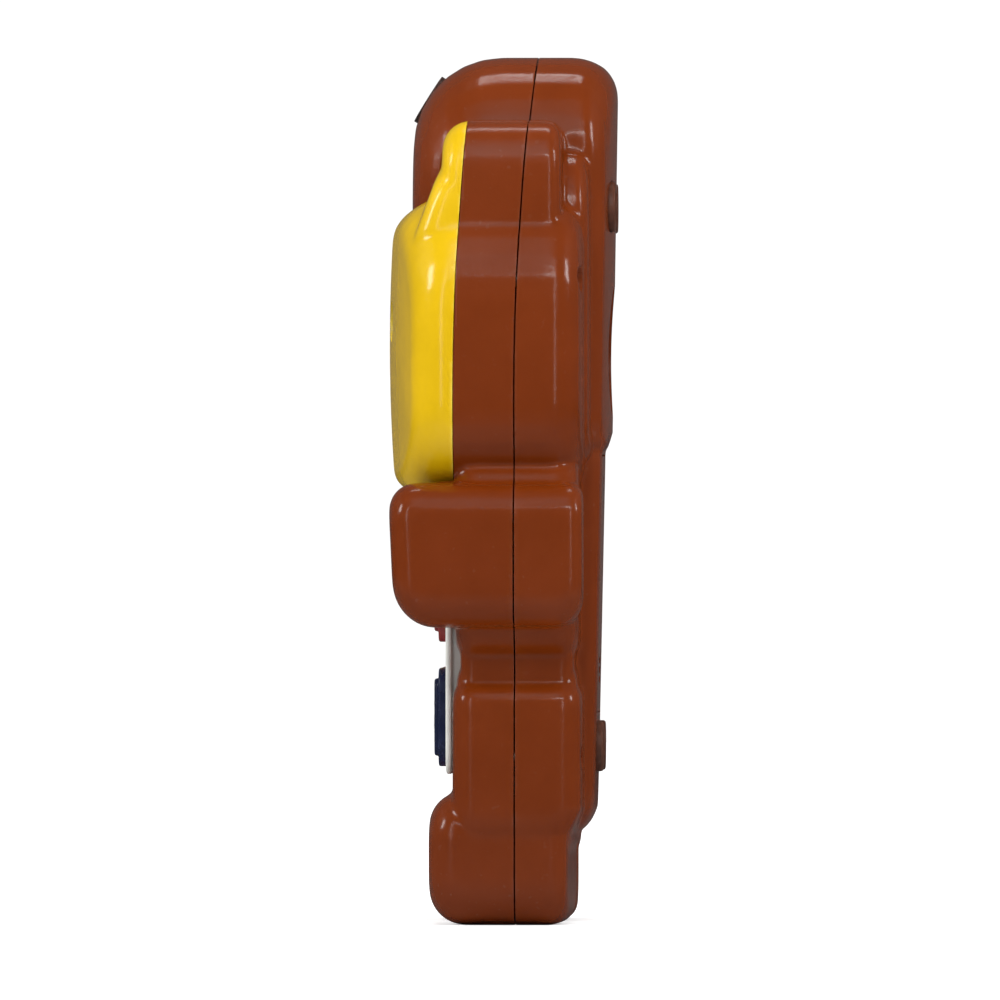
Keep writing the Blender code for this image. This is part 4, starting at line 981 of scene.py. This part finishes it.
def plastic(name, colour, **changes):
    # glossy moulded plastic: mottle in the colour, paler worn edges, smears and dust in the gloss
    look = dict(plasticLook, worn=tuple(min(1.0, c * 1.25 + 0.03) for c in colour))
    look.update(changes)
    material, tree, shader = newMaterial(name)
    surface = useGroup(tree, moulded, {"Peel Height": look["peel"]})
    wear = useGroup(tree, edgeWear, {"Reach": look["wear"]})["Mask"]
    touch = useGroup(tree, handling)
    mottle = addRange(tree, surface["Mottle"], 0.3, 0.7)
    tone = mixColour(tree, mottle, tuple(c * 0.86 for c in colour), colour)
    tone = mixColour(tree, wear, tone, look["worn"])
    dusty = addMath(tree, "MULTIPLY", touch["Dust"], look["dust"])
    tone = mixColour(tree, dusty, tone, (0.55, 0.52, 0.48))
    gloss = addRange(tree, touch["Smear"], 0.0, 1.0, look["rough"], look["rough"] + look["smear"])
    gloss = addMath(tree, "ADD", gloss, addMath(tree, "MULTIPLY", wear, 0.15))
    feed(tree, shader, {
        "Base Color": tone, "Roughness": gloss, "Coat Weight": look["coat"], "Coat Roughness": 0.12,
    })
    addBump(tree, shader, surface["Height"], look["bump"])
    return material


def metal(name, **look):
    material, tree, shader = newMaterial(name)
    lines = useGroup(tree, grain, {"Scale": look["scale"], "Stretch": look["stretch"]})
    touch = useGroup(tree, handling, {"Smear Scale": 60.0})
    tone = mixColour(tree, addRange(tree, lines["Tone"], 0.85, 1.1), look["dark"], look["colour"])
    tone = mixColour(tree, touch["Dust"], tone, look["stain"])
    rough = addRange(tree, touch["Smear"], 0.0, 1.0, look["rough"], look["rough"] + 0.15)
    feed(tree, shader, {"Base Color": tone, "Metallic": look.get("metallic", 1.0), "Roughness": rough})
    addBump(tree, shader, lines["Height"], look["bump"])
    return material


def board(name):
    # green lacquer over copper tracks, with round solder spots
    material, tree, shader = newMaterial(name)
    place = placeIn(tree)
    turned = addNode(tree, "ShaderNodeMapping", {"Vector": place, "Rotation": (math.pi / 2, 0, 0)})
    tracks = addNode(tree, "ShaderNodeTexBrick", {
        "Vector": turned.outputs["Vector"], "Scale": 90.0, "Mortar Size": 0.03, "Mortar Smooth": 0.1,
        "Brick Width": 0.9, "Row Height": 0.22,
    }).outputs["Fac"]
    spots = addNode(tree, "ShaderNodeTexVoronoi", {"Vector": place, "Scale": 260.0, "Randomness": 0.4})
    spots = addRange(tree, spots.outputs["Distance"], 0.16, 0.2, 1.0, 0.0)
    lacquer = mixColour(tree, tracks, (0.006, 0.075, 0.028), (0.02, 0.17, 0.06))
    feed(tree, shader, {
        "Base Color": mixColour(tree, spots, lacquer, (0.62, 0.6, 0.56)), "Metallic": spots,
        "Roughness": addRange(tree, spots, 0.0, 1.0, 0.35, 0.28),
    })
    addBump(tree, shader, addMath(tree, "ADD", tracks, spots), 0.00006)
    return material


def soft(name, **look):
    # rubber and paper: stipple or fibres, with dust that has settled in
    material, tree, shader = newMaterial(name)
    lines = useGroup(tree, grain, {"Scale": look["scale"], "Stretch": look["stretch"]})
    touch = useGroup(tree, handling, {"Smear Scale": 60.0, "Dust Scale": 900.0})
    wear = useGroup(tree, edgeWear, {"Reach": 0.4})["Mask"]
    tone = mixColour(tree, addRange(tree, lines["Tone"], 0.85, 1.1), look["dark"], look["colour"])
    tone = mixColour(tree, addMath(tree, "MULTIPLY", touch["Dust"], 0.5), tone, look["dust"])
    tone = mixColour(tree, wear, tone, look["worn"])
    rough = addRange(tree, touch["Smear"], 0.0, 1.0, look["rough"], look["rough"] + 0.12)
    feed(tree, shader, {
        "Base Color": tone, "Roughness": rough, "Subsurface Weight": look.get("scatter", 0.0),
        "Subsurface Radius": (0.001, 0.001, 0.001),
    })
    addBump(tree, shader, lines["Height"], look["bump"])
    return material


print("finishes")
finishes = {
    "brown_plastic": plastic(
        "brownPlastic", (0.142, 0.0225, 0.0018), rough=0.17, smear=0.07, wear=0.25, coat=0.1),
    "yellow_plastic": plastic(
        "yellowPlastic", (0.60, 0.375, 0.0015), worn=(0.86, 0.68, 0.12), rough=0.17, smear=0.07,
        coat=0.2),
    "white_plastic": plastic("whitePlastic", (0.74, 0.74, 0.70), rough=0.32),
    "blue_plastic": plastic("bluePlastic", (0.006, 0.011, 0.045), coat=0.1),
    "red_plastic": plastic("redPlastic", (0.20, 0.016, 0.014), coat=0.2),
    "dark_plastic": plastic("darkPlastic", (0.030, 0.012, 0.008), rough=0.34),
    "grey_plastic": plastic("greyPlastic", (0.23, 0.23, 0.23), rough=0.4, peel=0.8),
    "black_plastic": plastic("blackPlastic", (0.008, 0.008, 0.009), rough=0.12, coat=0.6, wear=0.15),
    "dark_rubber": soft(
        "darkRubber", scale=1400.0, stretch=1.0, dark=(0.055, 0.015, 0.006),
        colour=(0.090, 0.024, 0.009), dust=(0.25, 0.2, 0.17), worn=(0.15, 0.07, 0.045), rough=0.42,
        bump=0.00008),
    "silicone": soft(
        "greySilicone", scale=900.0, stretch=1.0, dark=(0.42, 0.42, 0.40), colour=(0.58, 0.58, 0.55),
        dust=(0.7, 0.68, 0.62), worn=(0.66, 0.66, 0.63), rough=0.5, scatter=0.2, bump=0.00004),
    "speaker_paper": soft(
        "speakerPaper", scale=420.0, stretch=5.0, dark=(0.030, 0.027, 0.024),
        colour=(0.065, 0.058, 0.050), dust=(0.2, 0.19, 0.17), worn=(0.1, 0.09, 0.08), rough=0.8,
        bump=0.00012),
    "circuit_board": board("circuitBoard"),
    "plated_steel": metal(
        "platedSteel", scale=500.0, stretch=6.0, dark=(0.42, 0.42, 0.41), colour=(0.62, 0.62, 0.60),
        stain=(0.3, 0.27, 0.22), rough=0.28, bump=0.00003),
    "nickel": metal(
        "nickel", scale=700.0, stretch=10.0, dark=(0.52, 0.49, 0.44), colour=(0.70, 0.67, 0.61),
        stain=(0.4, 0.34, 0.26), rough=0.22, bump=0.00002),
    "magnet": metal(
        "magnetSteel", scale=420.0, stretch=2.0, dark=(0.30, 0.30, 0.30), colour=(0.48, 0.48, 0.47),
        stain=(0.2, 0.18, 0.15), rough=0.35, bump=0.00004),
    "cell_can": metal(
        "cellSleeve", scale=260.0, stretch=14.0, dark=(0.10, 0.13, 0.20), colour=(0.16, 0.20, 0.30),
        stain=(0.3, 0.3, 0.3), rough=0.3, bump=0.00002, metallic=0.6),
    "digit": plastic("digitInk", (0.80, 0.80, 0.76), rough=0.4, wear=0.2),
}

for made, node, slotName in (
    (frontShell, "front_shell", "brown_plastic"),
    (backShell, "back_shell", "brown_plastic"),
    (faceCover, "face_cover", "yellow_plastic"),
    (keyPlate, "key_plate", "white_plastic"),
    (speakerGrille, "speaker_grille", "brown_plastic"),
    (earpieceRing, "earpiece_ring", "dark_plastic"),
    (earpieceGrille, "earpiece_grille", "grey_plastic"),
):
    finishPiece(made, "housing", node, slotName)
for made, node in insertPieces:
    finishPiece(made, "housing", node, "black_plastic")
finishPiece(batteryDoor, "door_body", "battery_door", "brown_plastic")
finishPiece(doorScrew, "door_screw_body", "door_screw", "plated_steel")
finishPiece(switchKnob, "switch_body_moving", "switch_knob", "black_plastic")

for index, (across, up) in enumerate(keyCentres):
    colour = keys["colours"][index] + "_plastic"
    made = placedCopy(firstKey, f"keyCap{index + 1}", (across, 0, up))
    body = f"key_{index + 1}_body"
    finishPiece(made, body, f"key_{index + 1}", colour, angle=40)
    digit = addDigit(str(index + 1), across, up)
    digit.name = f"keyDigit{index + 1}"
    finishPiece(digit, body, None, "white_plastic", "digit")
deleteThing(firstKey)
for name, across, up in pads["places"]:
    level, side = ("Upper" if up > 100 else "Lower"), ("Left" if across < 0 else "Right")
    made = placedCopy(firstPad, "pad" + level + side, (across, backFace(up), up))
    finishPiece(made, "housing", name, "dark_rubber")
deleteThing(firstPad)
for index, made in enumerate(screwPieces):
    finishPiece(made, "housing", f"case_screw_{index + 1}", "plated_steel")
for index, made in enumerate(cellPieces):
    finishPiece(made, "housing", f"battery_{index + 1}", "cell_can")
    made.data.materials.append(finishes["nickel"])
    ends = [point.co.z for point in made.data.vertices]
    for face in made.data.polygons:
        if min(face.center.z - min(ends), max(ends) - face.center.z) < cells["sleeveEnd"] * mm:
            face.material_index = 1

# pieces inside keep their solid shapes and take these finishes
insideFinishes = {
    "circuit_board": ("main_board",), "black_plastic": ("controller_blob",), "silicone": ("key_mat",),
    "speaker_paper": ("speaker_cone",), "magnet": ("speaker_magnet",), "grey_plastic": ("switch_body",),
    "plated_steel": ("speaker_frame", "board_screw_1", "board_screw_2", "board_screw_3", "board_screw_4"),
    "nickel": ("contact_bridge", "contact_tab_1", "contact_tab_2", "contact_spring_1", "contact_spring_2"),
}
for slotName, nodes in insideFinishes.items():
    for node in nodes:
        thing = frame["nodes"][node]
        thing.data.materials.clear()
        thing.data.materials.append(finishes[slotName])

# Camera, floor and light
camera = {"azimuth": 91.5, "distance": 4.0, "lens": 698.7, "target": (0.046, 0.0005, 0.0879)}


def addSoftbox(name, box):
    # its first size runs across, the second up and down
    bpy.ops.object.light_add(type="AREA", location=box["place"])
    made = bpy.context.object
    made.name = name
    towards = Vector((0, 0, 0.09)) - Vector(box["place"])
    made.rotation_euler = towards.to_track_quat("-Z", "Y").to_euler()
    made.data.shape = "RECTANGLE"
    made.data.size, made.data.size_y = box["size"]
    made.data.energy = box["power"]
    made.visible_glossy = box.get("mirrored", True)


studio = {"seen": 1.05, "fill": 0.3, "mirror": 0.1, "floorReach": (0.1, 0.7),
          "floorGlow": (0.45, 1.0), "floorMirror": 0.08}
softboxes = {
    "topLight": {"place": (-0.2, 0.0, 1.0), "size": (0.5, 0.04), "power": 0.6},
    "keyLight": {"place": (0.9, 0.25, 0.62), "size": (0.45, 0.05), "power": 0.7},
    "frontLight": {"place": (0.3, -0.9, 0.5), "size": (0.2, 0.3), "power": 1.5},
    "backLight": {"place": (0.3, 0.9, 0.5), "size": (0.12, 0.3), "power": 1.2},
    "backStrip": {"place": (1.0, 0.42, 0.4), "size": (0.025, 0.7), "power": 0.45},
    "frontStrip": {"place": (0.95, -0.5, 0.4), "size": (0.025, 0.7), "power": 0.45},
    "nearFill": {"place": (0.27, 0.0, 0.37), "size": (0.2, 0.2), "power": 1.25, "mirrored": False},
    "frontFill": {"place": (-0.1, -0.7, 0.5), "size": (0.4, 0.4), "power": 3.2, "mirrored": False},
    "backFill": {"place": (-0.1, 0.7, 0.5), "size": (0.4, 0.4), "power": 3.2, "mirrored": False},
}
print("camera, floor and light")
turn = math.radians(camera["azimuth"])
away = Vector((math.sin(turn), -math.cos(turn), 0.0))
bpy.ops.object.camera_add(location=Vector(camera["target"]) + away * camera["distance"])
made = bpy.context.object
made.rotation_euler = (-away).to_track_quat("-Z", "Y").to_euler()
made.data.lens = camera["lens"]
made.data.sensor_width = 36.0
bpy.context.scene.camera = made
for name, box in softboxes.items():
    addSoftbox(name, box)
bpy.ops.mesh.primitive_plane_add(size=6, location=(0, 0, 0))
floor = bpy.context.object
floor.name = "floor"
floorMaterial, tree, shader = newMaterial("paleFloor")
place = placeIn(tree)
tone = addRange(tree, addNoise(tree, place, 6.0, 3.0), 0.3, 0.7)
pale = mixColour(tree, tone, (0.90, 0.90, 0.90), (0.93, 0.93, 0.93))
dim = (studio["floorMirror"],) * 3
# the floor gets paler away from the toy, so that it runs into the backdrop
away = addNode(tree, "ShaderNodeVectorMath", {0: place}, operation="LENGTH").outputs["Value"]
glow = addRange(tree, away, *studio["floorReach"], *studio["floorGlow"])
feed(tree, shader, {
    "Base Color": mixColour(tree, rayIs(tree, "Is Glossy Ray"), pale, dim), "Roughness": 0.9,
    "Emission Strength": addMath(tree, "MULTIPLY", glow, rayIs(tree, "Is Camera Ray")),
    "Emission Color": (1, 1, 1),
})
floor.data.materials.append(floorMaterial)
floor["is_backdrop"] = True
world = bpy.data.worlds.new("studio")
bpy.context.scene.world = world
world.use_nodes = True
tree = world.node_tree
unseen = addRange(tree, rayIs(tree, "Is Glossy Ray"), 0.0, 1.0, studio["fill"], studio["mirror"])
strength = addNode(
    tree, "ShaderNodeMix", {"Factor": rayIs(tree, "Is Camera Ray"), "A": unseen, "B": studio["seen"]}
)
feed(tree, tree.nodes["Background"], {"Color": (1, 1, 1), "Strength": strength.outputs[0]})
bpy.context.scene.view_settings.view_transform = "Standard"

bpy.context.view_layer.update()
meshes = [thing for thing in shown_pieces() if thing.type == "MESH"]
print("pieces", len(meshes), "faces", sum(len(thing.data.polygons) for thing in meshes))
print("most faces in a piece", max(len(thing.data.polygons) for thing in meshes))
